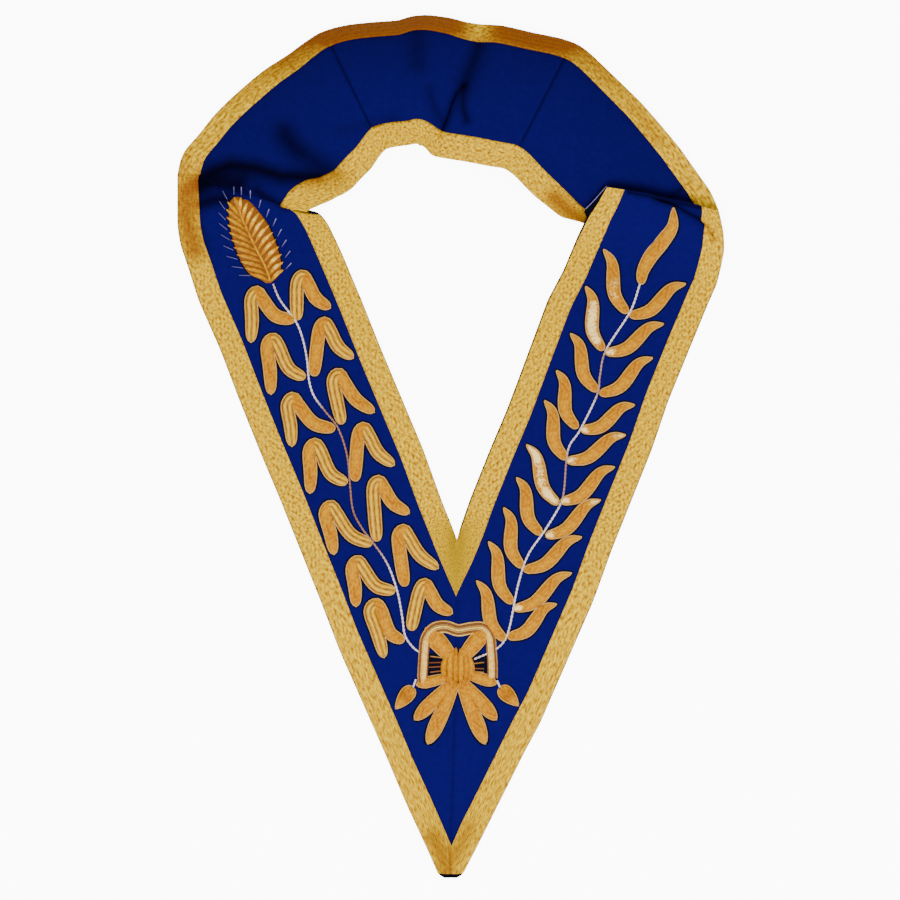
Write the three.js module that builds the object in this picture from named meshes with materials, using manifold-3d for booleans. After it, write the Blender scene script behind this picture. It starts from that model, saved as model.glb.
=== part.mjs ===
// A masonic officer's collar of four inch ribbon, lying face up as it was photographed: two straight arms mitred
// to a blunt point at the centre front and a crowned neck band darted onto them at the shoulders. Gold braid edges
// it all round, a wheat ear with folded leaves and a laurel spray climb the arms, and a bow ties them together.
// Millimetres, +X to the photograph's right, +Y towards the neck, +Z up from the surface that the collar lies on.
import * as THREE from 'three';
import { mergeVertices } from 'three/addons/utils/BufferGeometryUtils.js';
import Module from 'manifold-3d';

const wasm = await Module();
wasm.setup();

// The ribbon and the whole collar
const collarWidth = 377;
const collarLength = 593;
const ribbonWidth = 101.6;
const bandRise = 26;
const bandLean = 0.26;
const pleatRise = 14;
const rim = 0.8;

// The layers, from the surface upwards
const gap = 0.3;
const liningThickness = 1.0;
const clothThickness = 1.8;
const braidThickness = 1.4;
const braidWidth = 15.9;
const pleatThickness = 1.2;

// The embroidery
const padHeight = 2.6;
const lobeWidth = 9.6;
const lobeBow = 7.5;
const lobeSag = 2.6;
const leafWidth = 10.6;
const leafCurve = 2.6;
const stemWidth = 4.4;
const stemHeight = 2.2;
const earLength = 65;
const earWidth = 30;
const earCoreWidth = 7.2;
const grainWidth = 3.1;
const grainPairs = 13;

// The bow
const bowWidth = 55;
const bowHeight = 43;
const bowStrapWidth = 6.6;
const knotWidth = 18;
const knotHeight = 24;
const budWidth = 9.6;
const budLength = 17;
const stalkWidth = 2.4;
const stalkLength = 4.5;

// Worked out from them
const clothLift = liningThickness + gap;
const clothTop = clothLift + clothThickness;
const padLift = clothTop + gap;
const braidTop = padLift + braidThickness;
const field = (ribbonWidth - 2 * braidWidth) / 2;

// Sections of the ribbon, a row each. across and up place the section's middle in percent of the collar's width
// and length, turn is the way from the inner edge to the outer one in degrees, and span its plan width in ribbon
// widths. inner, crown and outer are heights in percent of the rise that the list is made with.
const leftRows = [
  { at: 'point', across: 50.5, up: 18.5, turn: -91, span: 2.41, trim: 0.12 },
  { at: 'corner', across: 49.2, up: 20.0, turn: -93.3, span: 2.26 },
  { at: 'taper', across: 43.4, up: 28.4, turn: -111.3, span: 1.46 },
  { at: 'crotch', across: 36.8, up: 38.4, turn: -157.6, span: 1.01 },
  { at: 'middle', across: 28.7, up: 51.5, turn: -157.5, span: 1.0 },
  { at: 'upper', across: 19.0, up: 66.1, turn: -158.5, span: 1.0 },
  { at: 'shoulder', across: 16.5, up: 70.4, turn: -161.8, span: 1.0 },
  { at: 'slope', across: 14.5, up: 74.1, turn: -168.5, span: 0.985 },
  { at: 'ridge', across: 13.1, up: 76.8, turn: -176.8, span: 0.96, inner: 2, crown: 1, outer: 0 },
  { at: 'dart', across: 11.8, up: 79.7, turn: -194.8, span: 0.907, inner: 10, crown: 3, outer: 0 },
];
const neckRows = [
  { at: 'dart', across: 11.8, up: 79.7, turn: 165.2, span: 0.907, inner: 10, crown: 3, outer: 0 },
  { at: 'shoulder', across: 13.9, up: 81.4, turn: 161.2, span: 0.965, inner: 27, crown: 38, outer: 0 },
  { at: 'bend', across: 17.9, up: 83.4, turn: 150.4, span: 0.94, inner: 35, crown: 52, outer: 0 },
  { at: 'side', across: 23.2, up: 86.4, turn: 132.2, span: 0.935, inner: 35, crown: 60, outer: 0 },
  { at: 'climb', across: 28.0, up: 89.0, turn: 124.9, span: 0.88, inner: 42, crown: 78, outer: 0 },
  { at: 'left_seam', across: 32.2, up: 91.4, turn: 118.8, span: 0.81, inner: 50, crown: 92, outer: 0 },
  { at: 'top', across: 37.9, up: 92.1, turn: 104.3, span: 0.775, inner: 54, crown: 98, outer: 0 },
  { at: 'ridge', across: 44.0, up: 92.8, turn: 88.6, span: 0.775, inner: 54, crown: 100, outer: 0 },
  { at: 'pucker', across: 51.6, up: 91.5, turn: 67.0, span: 0.90, inner: 38, crown: 66, outer: 0 },
  { at: 'back', across: 59.0, up: 90.6, turn: 64.4, span: 0.893, inner: 46, crown: 82, outer: 0 },
  { at: 'right_seam', across: 66.2, up: 89.7, turn: 61.4, span: 0.888, inner: 46, crown: 80, outer: 0 },
  { at: 'fall', across: 71.9, up: 86.3, turn: 53.8, span: 0.894, inner: 36, crown: 68, outer: 0 },
  { at: 'turn', across: 77.7, up: 82.7, turn: 39.5, span: 0.885, inner: 17, crown: 38, outer: 0 },
  { at: 'low', across: 82.7, up: 79.9, turn: 22.5, span: 0.93, inner: 5, crown: 14, outer: 0 },
  { at: 'valley', across: 87.3, up: 75.2, turn: -7.2, span: 0.925, inner: 0, crown: 3, outer: 0 },
];
const rightRows = [
  { at: 'point', across: 50.5, up: 18.5, turn: -91, span: 2.41, trim: 0.12 },
  { at: 'corner', across: 51.7, up: 20.0, turn: -89.1, span: 2.26 },
  { at: 'taper', across: 58.7, up: 28.9, turn: -68.1, span: 1.41 },
  { at: 'crotch', across: 65.5, up: 38.7, turn: -20.5, span: 1.01 },
  { at: 'middle', across: 73.6, up: 52.0, turn: -18.9, span: 1.005 },
  { at: 'upper', across: 82.4, up: 66.3, turn: -17.7, span: 1.02 },
  { at: 'shoulder', across: 85.1, up: 70.6, turn: -17.0, span: 1.0 },
  { at: 'slope', across: 87.4, up: 74.6, turn: -15.8, span: 0.948, inner: 70, crown: 66, outer: 42 },
  { at: 'ridge', across: 89.1, up: 77.6, turn: -21.8, span: 0.842, inner: 104, crown: 100, outer: 66 },
];
const pleatRows = [
  { at: 'valley', across: 87.4, up: 76.0, turn: -11, span: 0.929, inner: 58, crown: 56, outer: 44 },
  { at: 'ridge', across: 88.9, up: 77.4, turn: -21.8, span: 0.842, inner: 88, crown: 84, outer: 56 },
];

// Places on an arm, in percent: along from the crotch section to the shoulder section, side from the arm's middle
// line to the braid, to the photograph's right. A folded leaf climbs from its base to its apex and hangs to its tip;
// lobeBow and lobeSag move the middles of its lobes aside and down, in the same percent.
const leftStem = [
  { along: 95, side: 0 }, { along: 90, side: 2 }, { along: 81, side: 13 }, { along: 73, side: 12 },
  { along: 61, side: -4 }, { along: 50, side: 3 }, { along: 43, side: 13 }, { along: 33, side: 10 },
  { along: 23, side: -7 }, { along: 13, side: -20 }, { along: 1, side: -5 }, { along: -7, side: 3 },
  { along: -16, side: 2 }, { along: -24, side: -8 }, { along: -31, side: -17 }, { along: -35, side: -14 },
];
const rightStem = [
  { along: 96, side: 4 }, { along: 86, side: 6 }, { along: 70, side: -12 }, { along: 62, side: -4 },
  { along: 55, side: 7 }, { along: 43, side: -2 }, { along: 34, side: -8 }, { along: 23, side: 9 },
  { along: 16, side: 15 }, { along: 5, side: 5 }, { along: -4, side: -7 }, { along: -15, side: -3 },
  { along: -27, side: 9 }, { along: -34, side: 11 }, { along: -37, side: 5 },
];
const foldedLeaves = [
  { name: 'left_1', base: 81, from: 13, apex: 97, fold: -40, tip: 80, to: -81 },
  { name: 'right_1', base: 81, from: 17, apex: 97, fold: 58, tip: 81, to: 87 },
  { name: 'left_2', base: 62, from: -11, apex: 81, fold: -40, tip: 61, to: -84 },
  { name: 'right_2', base: 61, from: 6, apex: 79, fold: 65, tip: 63, to: 90 },
  { name: 'left_3', base: 42, from: 6, apex: 60, fold: -50, tip: 42, to: -84 },
  { name: 'right_3', base: 43, from: 23, apex: 61, fold: 61, tip: 43, to: 89 },
  { name: 'left_4', base: 24, from: -12, apex: 43, fold: -39, tip: 25, to: -86 },
  { name: 'right_4', base: 23, from: 4, apex: 41, fold: 60, tip: 24, to: 87 },
  { name: 'left_5', base: 2, from: -11, apex: 21, fold: -58, tip: 3, to: -87 },
  { name: 'right_5', base: 2, from: 0, apex: 23, fold: 51, tip: 7, to: 80 },
  { name: 'left_6', base: -16, from: -4, apex: 1, fold: -49, tip: -16, to: -85 },
  { name: 'right_6', base: -16, from: 17, apex: 4, fold: 59, tip: -14, to: 89 },
  { name: 'left_7', base: -31, from: -25, apex: -15, fold: -50, tip: -35, to: -72 },
  { name: 'right_7', base: -30, from: -4, apex: -15, fold: 57, tip: -30, to: 83 },
];
const laurelLeaves = [
  { name: 'top', base: 97, from: 4, tip: 118, to: 9 },
  { name: 'left_1', base: 85, from: 1, tip: 102, to: -85 },
  { name: 'right_1', base: 84, from: 9, tip: 101, to: 84 },
  { name: 'left_2', base: 70, from: -16, tip: 88, to: -90 },
  { name: 'right_2', base: 70, from: -8, tip: 86, to: 75 },
  { name: 'left_3', base: 56, from: 2, tip: 71, to: -85 },
  { name: 'right_3', base: 56, from: 10, tip: 73, to: 78 },
  { name: 'left_4', base: 42, from: -8, tip: 58, to: -85 },
  { name: 'right_4', base: 42, from: 1, tip: 56, to: 78 },
  { name: 'left_5', base: 31, from: -6, tip: 47, to: -85 },
  { name: 'right_5', base: 30, from: -2, tip: 45, to: 82 },
  { name: 'left_6', base: 16, from: 12, tip: 31, to: -87 },
  { name: 'right_6', base: 17, from: 16, tip: 34, to: 85 },
  { name: 'left_7', base: 4, from: 2, tip: 19, to: -81 },
  { name: 'right_7', base: 4, from: 13, tip: 22, to: 84 },
  { name: 'left_8', base: -9, from: -9, tip: 8, to: -84 },
  { name: 'right_8', base: -9, from: -3, tip: 8, to: 75 },
  { name: 'left_9', base: -21, from: -1, tip: -5, to: -87 },
  { name: 'right_9', base: -23, from: 6, tip: -4, to: 84 },
  { name: 'left_10', base: -34, from: 12, tip: -19, to: -81 },
  { name: 'right_10', base: -33, from: 15, tip: -16, to: 79 },
];

// A laurel leaf's middle line, by the share of its length and how far it bends aside there in leaf curves
const leafLine = [{ share: 0.05, out: 0 }, { share: 0.35, out: -1 }, { share: 0.75, out: 0.7 }, { share: 1, out: 0 }];

// The wheat ear's grains, by the share of the ear's step or reach at their root, belly and tip
const grainLine = [{ up: 0.4, out: 0 }, { up: 1.3, out: 0.6 }, { up: 2.5, out: 1 }];

// The bow's strap, in percent of half its width and half its height from the knot, one side to the other
const bowStrap = [
  { x: -40, y: -50 }, { x: -75, y: -60 }, { x: -89, y: -22 }, { x: -88, y: 32 }, { x: -80, y: 86 },
  { x: -55, y: 120 }, { x: -23, y: 130 }, { x: 8, y: 120 }, { x: 45, y: 130 }, { x: 75, y: 120 },
  { x: 93, y: 80 }, { x: 98, y: 16 }, { x: 95, y: -32 }, { x: 78, y: -57 }, { x: 44, y: -47 },
];
const bowCentre = { across: 50.9, up: 24.7 };

// The knot's petals and the tails, rays from the knot: lean is their way in degrees, aside their shift across in
// percent of the knot's width, from and to their reach in percent of its height, and wide their width in percent
const petals = [
  { lean: 90, aside: 0, from: -50, to: 50, wide: 46 },
  { lean: 98, aside: -30, from: -42, to: 42, wide: 38 },
  { lean: 82, aside: 30, from: -42, to: 42, wide: 38 },
  { lean: 131, aside: 0, from: 26, to: 100, wide: 44 },
  { lean: 50, aside: 0, from: 26, to: 100, wide: 44 },
];
const tails = {
  left: [{ lean: -126, aside: 0, from: 50, to: 182, wide: 50 }, { lean: -109, aside: 0, from: 56, to: 226, wide: 52 }],
  right: [{ lean: -70, aside: 0, from: 56, to: 226, wide: 52 }, { lean: -54, aside: 0, from: 50, to: 180, wide: 50 }],
};

const finishes = {
  cloth: { color: 0x0d1c78, roughness: 0.85, metalness: 0 },
  lining: { color: 0x0a0b1c, roughness: 0.9, metalness: 0 },
  braid: { color: 0xc89a3c, roughness: 0.5, metalness: 0.7 },
  thread: { color: 0xc8913a, roughness: 0.6, metalness: 0.6 },
  bright: { color: 0xf0d890, roughness: 0.35, metalness: 0.8 },
  stem: { color: 0xe0d8cc, roughness: 0.35, metalness: 0.8 },
};
const collar = new THREE.Group();

// A place given in percent of the collar's width and length
function onCollar(across, up) {
  return new THREE.Vector2((across / 100 - 0.5) * collarWidth, (up / 100 - 0.5) * collarLength);
}

// A row of the tables as the two edge points, three heights, the share left after the outer end is cut off, and
// how far the cloth is drawn outwards in plan where the crown is steeper on that side
function section(row, rise, lean = 0) {
  const middle = onCollar(row.across, row.up);
  const turn = THREE.MathUtils.degToRad(row.turn);
  const half = new THREE.Vector2(Math.cos(turn), Math.sin(turn)).multiplyScalar(row.span * ribbonWidth / 2);
  const heights = [row.inner, row.crown, row.outer].map((height) => (height ?? 0) / 100 * rise);
  return {
    inner: middle.clone().sub(half),
    outer: middle.clone().add(half),
    heights: new THREE.Vector3(...heights),
    whole: 1 - (row.trim ?? 0) / row.span,
    lean: lean * (row.crown ?? 0) / 100,
  };
}

// Sections halfway between the rows, on a smooth curve through four neighbours, for the rounded band
function smoothed(sections) {
  const near = (i) => sections[Math.min(Math.max(i, 0), sections.length - 1)];
  return sections.slice(0, -1).flatMap((one, i) => {
    const mix = (key) => near(i)[key].clone().add(near(i + 1)[key]).multiplyScalar(9 / 16)
      .sub(near(i - 1)[key].clone().add(near(i + 2)[key]).multiplyScalar(1 / 16));
    const lean = (near(i).lean + near(i + 1).lean) / 2;
    return [one, { inner: mix('inner'), outer: mix('outer'), heights: mix('heights'), whole: 1, lean }];
  }).concat([sections.at(-1)]);
}

// The point of a section at a share of the way across, on the parabola through its three heights
function spanned(one, v) {
  const { x: inner, y: crown, z: outer } = one.heights;
  const height = inner * (2 * v - 1) * (v - 1) + crown * 4 * v * (1 - v) + outer * v * (2 * v - 1);
  const flat = one.inner.clone().lerp(one.outer, v + one.lean * v * (1 - v));
  return new THREE.Vector3(flat.x, flat.y, height);
}

// The point of a section at a share of the way across, lifted square to the section's own slope
function lifted(one, share, lift) {
  const v = Math.min(share, one.whole);
  const over = spanned(one, v + 0.01).sub(spanned(one, v - 0.01));
  const normal = new THREE.Vector3(-over.y, over.x, 0).cross(over).normalize();
  return spanned(one, v).addScaledVector(normal, lift * Math.sign(normal.z));
}

// The section moved along the ribbon by a distance, to leave a seam's clearance
function movedAlong(one, distance) {
  const way = one.outer.clone().sub(one.inner).normalize();
  const step = new THREE.Vector2(-way.y, way.x).multiplyScalar(distance);
  return { ...one, inner: one.inner.clone().add(step), outer: one.outer.clone().add(step) };
}

// A closed mesh from points and triangles, turned the right way out
function closedMesh(points, triangles) {
  const volume = triangles.reduce((sum, [a, b, c]) =>
    sum + points[a].dot(new THREE.Vector3().crossVectors(points[b], points[c])), 0);
  const geometry = new THREE.BufferGeometry();
  geometry.setAttribute('position', new THREE.Float32BufferAttribute(points.flatMap((p) => p.toArray()), 3));
  geometry.setIndex(triangles.flatMap(([a, b, c]) => (volume > 0 ? [a, b, c] : [a, c, b])));
  return geometry;
}

// A sheet of the collar between two lifts above its underside, on a grid of sections and stops across
function sheet(sections, stops, low, high) {
  const rows = sections.length;
  const columns = stops.length;
  const points = [low, high].flatMap((lift) =>
    sections.flatMap((one) => stops.map((stop) => lifted(one, stop, lift))));
  const corner = (side, i, j) => side * rows * columns + i * columns + j;
  const triangles = [];
  const quad = (a, b, c, d) => triangles.push([a, b, c], [a, c, d]);
  for (let i = 0; i < rows - 1; i++) {
    for (let j = 0; j < columns - 1; j++) {
      quad(corner(0, i, j), corner(0, i, j + 1), corner(0, i + 1, j + 1), corner(0, i + 1, j));
      quad(corner(1, i, j), corner(1, i + 1, j), corner(1, i + 1, j + 1), corner(1, i, j + 1));
    }
  }
  for (let j = 0; j < columns - 1; j++) {
    quad(corner(0, 0, j), corner(1, 0, j), corner(1, 0, j + 1), corner(0, 0, j + 1));
    quad(corner(0, rows - 1, j + 1), corner(1, rows - 1, j + 1), corner(1, rows - 1, j), corner(0, rows - 1, j));
  }
  for (let i = 0; i < rows - 1; i++) {
    quad(corner(0, i + 1, 0), corner(1, i + 1, 0), corner(1, i, 0), corner(0, i, 0));
    quad(corner(0, i, columns - 1), corner(1, i, columns - 1), corner(1, i + 1, columns - 1),
      corner(0, i + 1, columns - 1));
  }
  return closedMesh(points, triangles);
}

// A padded strip on the flat: a section that is flat below and domed above, carried along a curve. widthAt gives
// the half width in millimetres at a share of the way, and margin grows the strip all round, for a clearance.
function paddedStrip(curve, steps, widthAt, height, margin = 0) {
  const shape = [[-1, 0], [1, 0], [0.8, 0.6], [0, 1], [-0.8, 0.6]];
  const points = [];
  const triangles = [];
  for (let i = 0; i <= steps; i++) {
    const t = i / steps;
    const middle = curve.getPointAt(t);
    const way = curve.getTangentAt(t);
    const past = (i === 0 ? -margin : 0) + (i === steps ? margin : 0);
    const half = widthAt(t) + margin;
    const tall = (height + margin) * Math.min(1, 0.45 + half / lobeWidth);
    for (const [side, up] of shape) {
      points.push(new THREE.Vector3(
        middle.x - way.y * side * half + way.x * past,
        middle.y + way.x * side * half + way.y * past,
        up * tall - (up === 0 ? margin : 0)));
    }
  }
  const sides = shape.length;
  for (let i = 0; i < steps; i++) {
    for (let j = 0; j < sides; j++) {
      const [a, b] = [i * sides + j, i * sides + (j + 1) % sides];
      triangles.push([a, b, b + sides], [a, b + sides, a + sides]);
    }
  }
  for (let j = 1; j < sides - 1; j++) {
    triangles.push([0, j + 1, j]);
    triangles.push([steps * sides, steps * sides + j, steps * sides + j + 1]);
  }
  return closedMesh(points, triangles);
}

// A geometry as a solid that can be joined and cut
function solidOf(geometry) {
  const merged = mergeVertices(geometry, 1e-4);
  return new wasm.Manifold(new wasm.Mesh({
    numProp: 3,
    vertProperties: new Float32Array(merged.attributes.position.array),
    triVerts: new Uint32Array(merged.index.array),
  }));
}

// A joined or cut solid back as a geometry
function geometryOf(solid) {
  const mesh = solid.getMesh();
  const geometry = new THREE.BufferGeometry();
  geometry.setAttribute('position', new THREE.BufferAttribute(new Float32Array(mesh.vertProperties), 3));
  geometry.setIndex(new THREE.BufferAttribute(new Uint32Array(mesh.triVerts), 1));
  return geometry;
}

// Several geometries joined into one solid
function joined(geometries) {
  return geometries.map(solidOf).reduce((sum, solid) => sum.add(solid));
}

// A named piece in the collar, with its own material
function addPiece(name, geometry, finish) {
  geometry.computeVertexNormals();
  const piece = new THREE.Mesh(geometry, new THREE.MeshStandardMaterial({ ...finishes[finish] }));
  piece.name = name;
  collar.add(piece);
}

// An arm or the band as its full run of sections, with a row's place in them by name
const armLeft = leftRows.map((row) => section(row, bandRise));
const armRight = rightRows.map((row) => section(row, pleatRise));
const band = smoothed(neckRows.map((row) => section(row, bandRise, bandLean)));
const bandIndex = (name) => 2 * neckRows.findIndex((row) => row.at === name);

// The sections from one to another, set back by half a clearance at the ends that meet a neighbour
function run(sections, first, last, setBacks) {
  const part = sections.slice(first, last + 1);
  part[0] = movedAlong(part[0], setBacks[0] * gap / 2);
  part[part.length - 1] = movedAlong(part.at(-1), setBacks[1] * gap / 2);
  return part;
}

// The runs that are cut as pieces: each arm whole, and the band between its darts and seams
const last = (sections) => sections.length - 1;
const runs = {
  left_arm: run(armLeft, 0, last(armLeft), [-1, 1]),
  right_arm: run(armRight, 0, last(armRight), [1, 0]),
  neck_left: run(band, 0, bandIndex('left_seam'), [-1, 1]),
  neck_back: run(band, bandIndex('left_seam'), bandIndex('right_seam'), [-1, 1]),
  neck_right: run(band, bandIndex('right_seam'), last(band), [-1, 0]),
};
const liningRuns = {
  left_arm: runs.left_arm,
  right_arm: runs.right_arm,
  neck_left: run(band, 0, bandIndex('pucker'), [-1, 1]),
  neck_right: run(band, bandIndex('pucker'), last(band), [-1, 0]),
};
const braidRuns = {
  left_arm: runs.left_arm,
  right_arm: runs.right_arm,
  neck: run(band, 0, last(band), [-1, 0]),
};

// The stops across the ribbon: its edges, the braids' inner edges and three stops over the crown
const braidShare = braidWidth / ribbonWidth;
const edge = 1 - rim / ribbonWidth;
const crownStops = [0.33, 0.5, 0.67];
const clothStops = [0, braidShare, ...crownStops, edge - braidShare, edge];
const liningStops = [0, braidShare, ...crownStops, edge - braidShare, 1];

function addRibbon() {
  for (const [name, part] of Object.entries(liningRuns)) {
    addPiece(`${name}_lining`, sheet(part, liningStops, 0, liningThickness), 'lining');
  }
  for (const [name, part] of Object.entries(runs)) {
    addPiece(`${name}_cloth`, sheet(part, clothStops, clothLift, clothTop), 'cloth');
  }
  for (const [name, part] of Object.entries(braidRuns)) {
    addPiece(`${name}_outer_braid`, sheet(part, clothStops.slice(-2), padLift, braidTop), 'braid');
    addPiece(`${name}_inner_braid`, sheet(part, clothStops.slice(0, 2), padLift, braidTop), 'braid');
  }
}

// The return of the right shoulder's pleat, lining side up, between the band below it and the arm above it
function addPleat() {
  const fold = pleatRows.map((row) => section(row, pleatRise));
  addPiece('right_shoulder_pleat', sheet(fold, [0, 0.3, 0.6, 0.85], 0, pleatThickness), 'lining');
}

// An arm's own plan frame for the embroidery, and the height of the lining's underside below a place on it
function armFrame(sections, rows) {
  const middle = (name) => {
    const one = sections[rows.findIndex((row) => row.at === name)];
    return one.inner.clone().add(one.outer).multiplyScalar(0.5);
  };
  const start = middle('crotch');
  const run = middle('shoulder').sub(start);
  const up = run.clone().normalize();
  const place = ({ along, side }) => start.clone().addScaledVector(run, along / 100)
    .addScaledVector(new THREE.Vector2(up.y, -up.x), side / 100 * field);
  const ahead = (one, p) => one.outer.clone().sub(one.inner).normalize().cross(p.clone().sub(one.inner));
  const heightAt = (p) => {
    for (let i = 0; i < sections.length - 1; i++) {
      const [one, next] = [sections[i], sections[i + 1]];
      const [before, after] = [ahead(one, p), ahead(next, p)];
      if (before * after > 0) continue;
      const share = before / (before - after);
      const inner = one.inner.clone().lerp(next.inner, share);
      const reach = one.outer.clone().lerp(next.outer, share).sub(inner);
      const heights = one.heights.clone().lerp(next.heights, share);
      const v = THREE.MathUtils.clamp(p.clone().sub(inner).dot(reach) / reach.lengthSq(), 0, 1);
      return spanned({ inner, outer: inner, heights, lean: 0 }, v).z;
    }
    return 0;
  };
  return { place, heightAt };
}

// A flat geometry laid on the cloth, each point lifted by the height below it
function laid(geometry, heightAt = () => 0) {
  const positions = geometry.attributes.position;
  for (let i = 0; i < positions.count; i++) {
    const below = heightAt(new THREE.Vector2(positions.getX(i), positions.getY(i)));
    positions.setZ(i, positions.getZ(i) + below + padLift);
  }
  return geometry;
}

// Every stitched piece is cut clear of the braids and of the pieces laid before it
let taken = joined(['left_arm', 'right_arm'].flatMap((name) => [
  sheet(runs[name], [0, braidShare + gap / ribbonWidth], clothTop, braidTop + padHeight),
  sheet(runs[name], [edge - braidShare - gap / ribbonWidth, edge], clothTop, braidTop + padHeight),
]));
function addStitched(name, build, finish, heightAt) {
  const cut = joined(build(0).map((piece) => laid(piece, heightAt))).subtract(taken);
  addPiece(name, geometryOf(cut), finish);
  taken = taken.add(joined(build(gap).map((piece) => laid(piece, heightAt))));
}

const left = armFrame(armLeft, leftRows);
const right = armFrame(armRight, rightRows);
const spline = (points) => new THREE.CatmullRomCurve3(points.map((p) => new THREE.Vector3(p.x, p.y, 0)));

// A leaf's half width along it, from a narrow base through its full width to a blunt tip
const tapered = (width, base, tip) => (t) =>
  width / 2 * Math.min(1, Math.max(Math.sin(Math.PI * t) * 1.15, t < 0.5 ? base : tip));

function addStems() {
  for (const [name, points, arm] of [['wheat_stem', leftStem, left], ['laurel_stem', rightStem, right]]) {
    const curve = spline(points.map(arm.place));
    const half = tapered(stemWidth, 1, 1);
    addStitched(name, (margin) => [paddedStrip(curve, 34, half, stemHeight, margin)], 'stem', arm.heightAt);
  }
}

// The wheat ear: chevrons of grains fused on a narrow core, up to a single grain at its tip
function addWheatEar() {
  const base = left.place({ along: 97, side: 0 });
  const way = left.place({ along: 128, side: -8 }).sub(base).normalize();
  const aside = new THREE.Vector2(way.y, -way.x);
  const at = (up, out) => base.clone().addScaledVector(way, up).addScaledVector(aside, out);
  const step = earLength / (grainPairs + 2);
  const build = (margin) => {
    const core = paddedStrip(spline([at(0, 0), at(earLength * 0.5, 0), at(earLength * 0.9, 0)]), 6,
      () => earCoreWidth / 2, padHeight, margin);
    const pieces = [core];
    for (let i = 0; i < grainPairs; i++) {
      const reach = earWidth / 2 * Math.sin(Math.PI * (0.16 + 0.74 * i / grainPairs));
      for (const side of [-1, 1]) {
        const grain = spline(grainLine.map(({ up, out }) => at((i + up) * step, side * out * reach)));
        pieces.push(paddedStrip(grain, 2, tapered(grainWidth, 0.5, 0.3), padHeight, margin));
      }
    }
    const tip = spline([at(earLength * 0.8, 0), at(earLength * 0.9, 0), at(earLength, 0)]);
    return [...pieces, paddedStrip(tip, 3, tapered(grainWidth, 0.6, 0.25), padHeight, margin)];
  };
  addStitched('wheat_ear', build, 'thread', left.heightAt);
}

// The folded leaves: an inner lobe bowed up to the fold and an outer lobe hanging from it, joined there
function addFoldedLeaves() {
  for (const row of foldedLeaves) {
    const side = Math.sign(row.fold);
    const base = left.place({ along: row.base, side: row.from });
    const apex = left.place({ along: row.apex, side: row.fold });
    const tip = left.place({ along: row.tip, side: row.to });
    const bowed = (along, from, to) => left.place({ along, side: (from + to) / 2 + side * lobeBow });
    const inner = spline([base, bowed((row.base + row.apex) / 2 - lobeSag, row.from, row.fold), apex]);
    const outer = spline([apex, bowed((row.apex + row.tip) / 2, row.fold, row.to), tip]);
    addStitched(`folded_leaf_${row.name}`, (margin) => [
      paddedStrip(inner, 6, tapered(lobeWidth, 0.35, 0.7), padHeight, margin),
      paddedStrip(outer, 6, tapered(lobeWidth, 0.75, 0.3), padHeight, margin),
    ], 'thread', left.heightAt);
  }
}

// The laurel leaves: slender, each bent in a shallow S from its base on the stem
function addLaurelLeaves() {
  for (const row of laurelLeaves) {
    const base = right.place({ along: row.base, side: row.from });
    const tip = right.place({ along: row.tip, side: row.to });
    const way = tip.clone().sub(base).normalize();
    const bend = leafCurve * Math.sign(row.to);
    const at = (share, out) => base.clone().lerp(tip, share).add(new THREE.Vector2(way.y, -way.x).multiplyScalar(out));
    const curve = spline(leafLine.map(({ share, out }) => at(share, out * bend)));
    addStitched(`laurel_leaf_${row.name}`, (margin) =>
      [paddedStrip(curve, 7, tapered(leafWidth, 0.35, 0.18), padHeight, margin)], 'thread', right.heightAt);
  }
}

// The bow: a knot of petals, a strap looped to both sides, two pairs of tails and a bud on a stalk at each side
function addBow() {
  const centre = onCollar(bowCentre.across, bowCentre.up);
  const at = (x, y) => centre.clone().add(new THREE.Vector2(x, y));
  const ray = ({ lean, aside, from, to, wide }, margin) => {
    const way = new THREE.Vector2(Math.cos(lean * Math.PI / 180), Math.sin(lean * Math.PI / 180));
    const start = at(aside / 100 * knotWidth, 0);
    const curve = spline([from, (from + to) / 2, to].map((reach) =>
      start.clone().addScaledVector(way, reach / 100 * knotHeight)));
    return paddedStrip(curve, 5, tapered(wide / 100 * knotWidth, 0.45, 0.45), padHeight, margin);
  };
  addStitched('bow_knot', (margin) => petals.map((petal) => ray(petal, margin)), 'thread');
  for (const [name, pair] of Object.entries(tails)) {
    addStitched(`bow_tails_${name}`, (margin) => pair.map((tail) => ray(tail, margin)), 'thread');
  }
  const strap = spline(bowStrap.map(({ x, y }) => at(x / 100 * bowWidth / 2, y / 100 * bowHeight / 2)));
  addStitched('bow_strap', (margin) =>
    [paddedStrip(strap, 28, () => bowStrapWidth / 2, padHeight, margin)], 'bright');
  for (const [name, side] of [['left', -1], ['right', 1]]) {
    const from = at(side * (bowWidth / 2 + bowStrapWidth * 0.15), -bowHeight * 0.3);
    const way = new THREE.Vector2(side * 0.64, -0.77);
    const along = (reach) => from.clone().addScaledVector(way, reach);
    const line = (start, end) => spline([along(start), along((start + end) / 2), along(end)]);
    addStitched(`bud_${name}`, (margin) => [
      paddedStrip(line(0, stalkLength * 1.3), 2, () => stalkWidth / 2, stemHeight, margin),
      paddedStrip(line(stalkLength, stalkLength + budLength), 6, tapered(budWidth, 0.3, 0.2), padHeight, margin),
    ], 'thread');
  }
}

addRibbon();
addPleat();
addStems();
addBow();
addWheatEar();
addFoldedLeaves();
addLaurelLeaves();

// The origin is the middle of the collar's outline, on the surface that it lies on
const extent = new THREE.Box3().setFromObject(collar);
collar.position.set(-(extent.min.x + extent.max.x) / 2, -(extent.min.y + extent.max.y) / 2, -extent.min.z);

export default collar;
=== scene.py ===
"""Looks of an embroidered neck collar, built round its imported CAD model.

The collar lies face up as on a table. Its ribbon of royal blue ribbed silk is backed with navy lining and edged
with woven gold lace; gold wire work climbs both arms and ends in a bow. Every surface is a grid worked out with
numpy from the layout chart: 900 units a side, x to the right and y downwards, about 0.69 mm a unit.
"""
from __future__ import annotations

import logging
from dataclasses import dataclass
from enum import Enum

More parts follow.
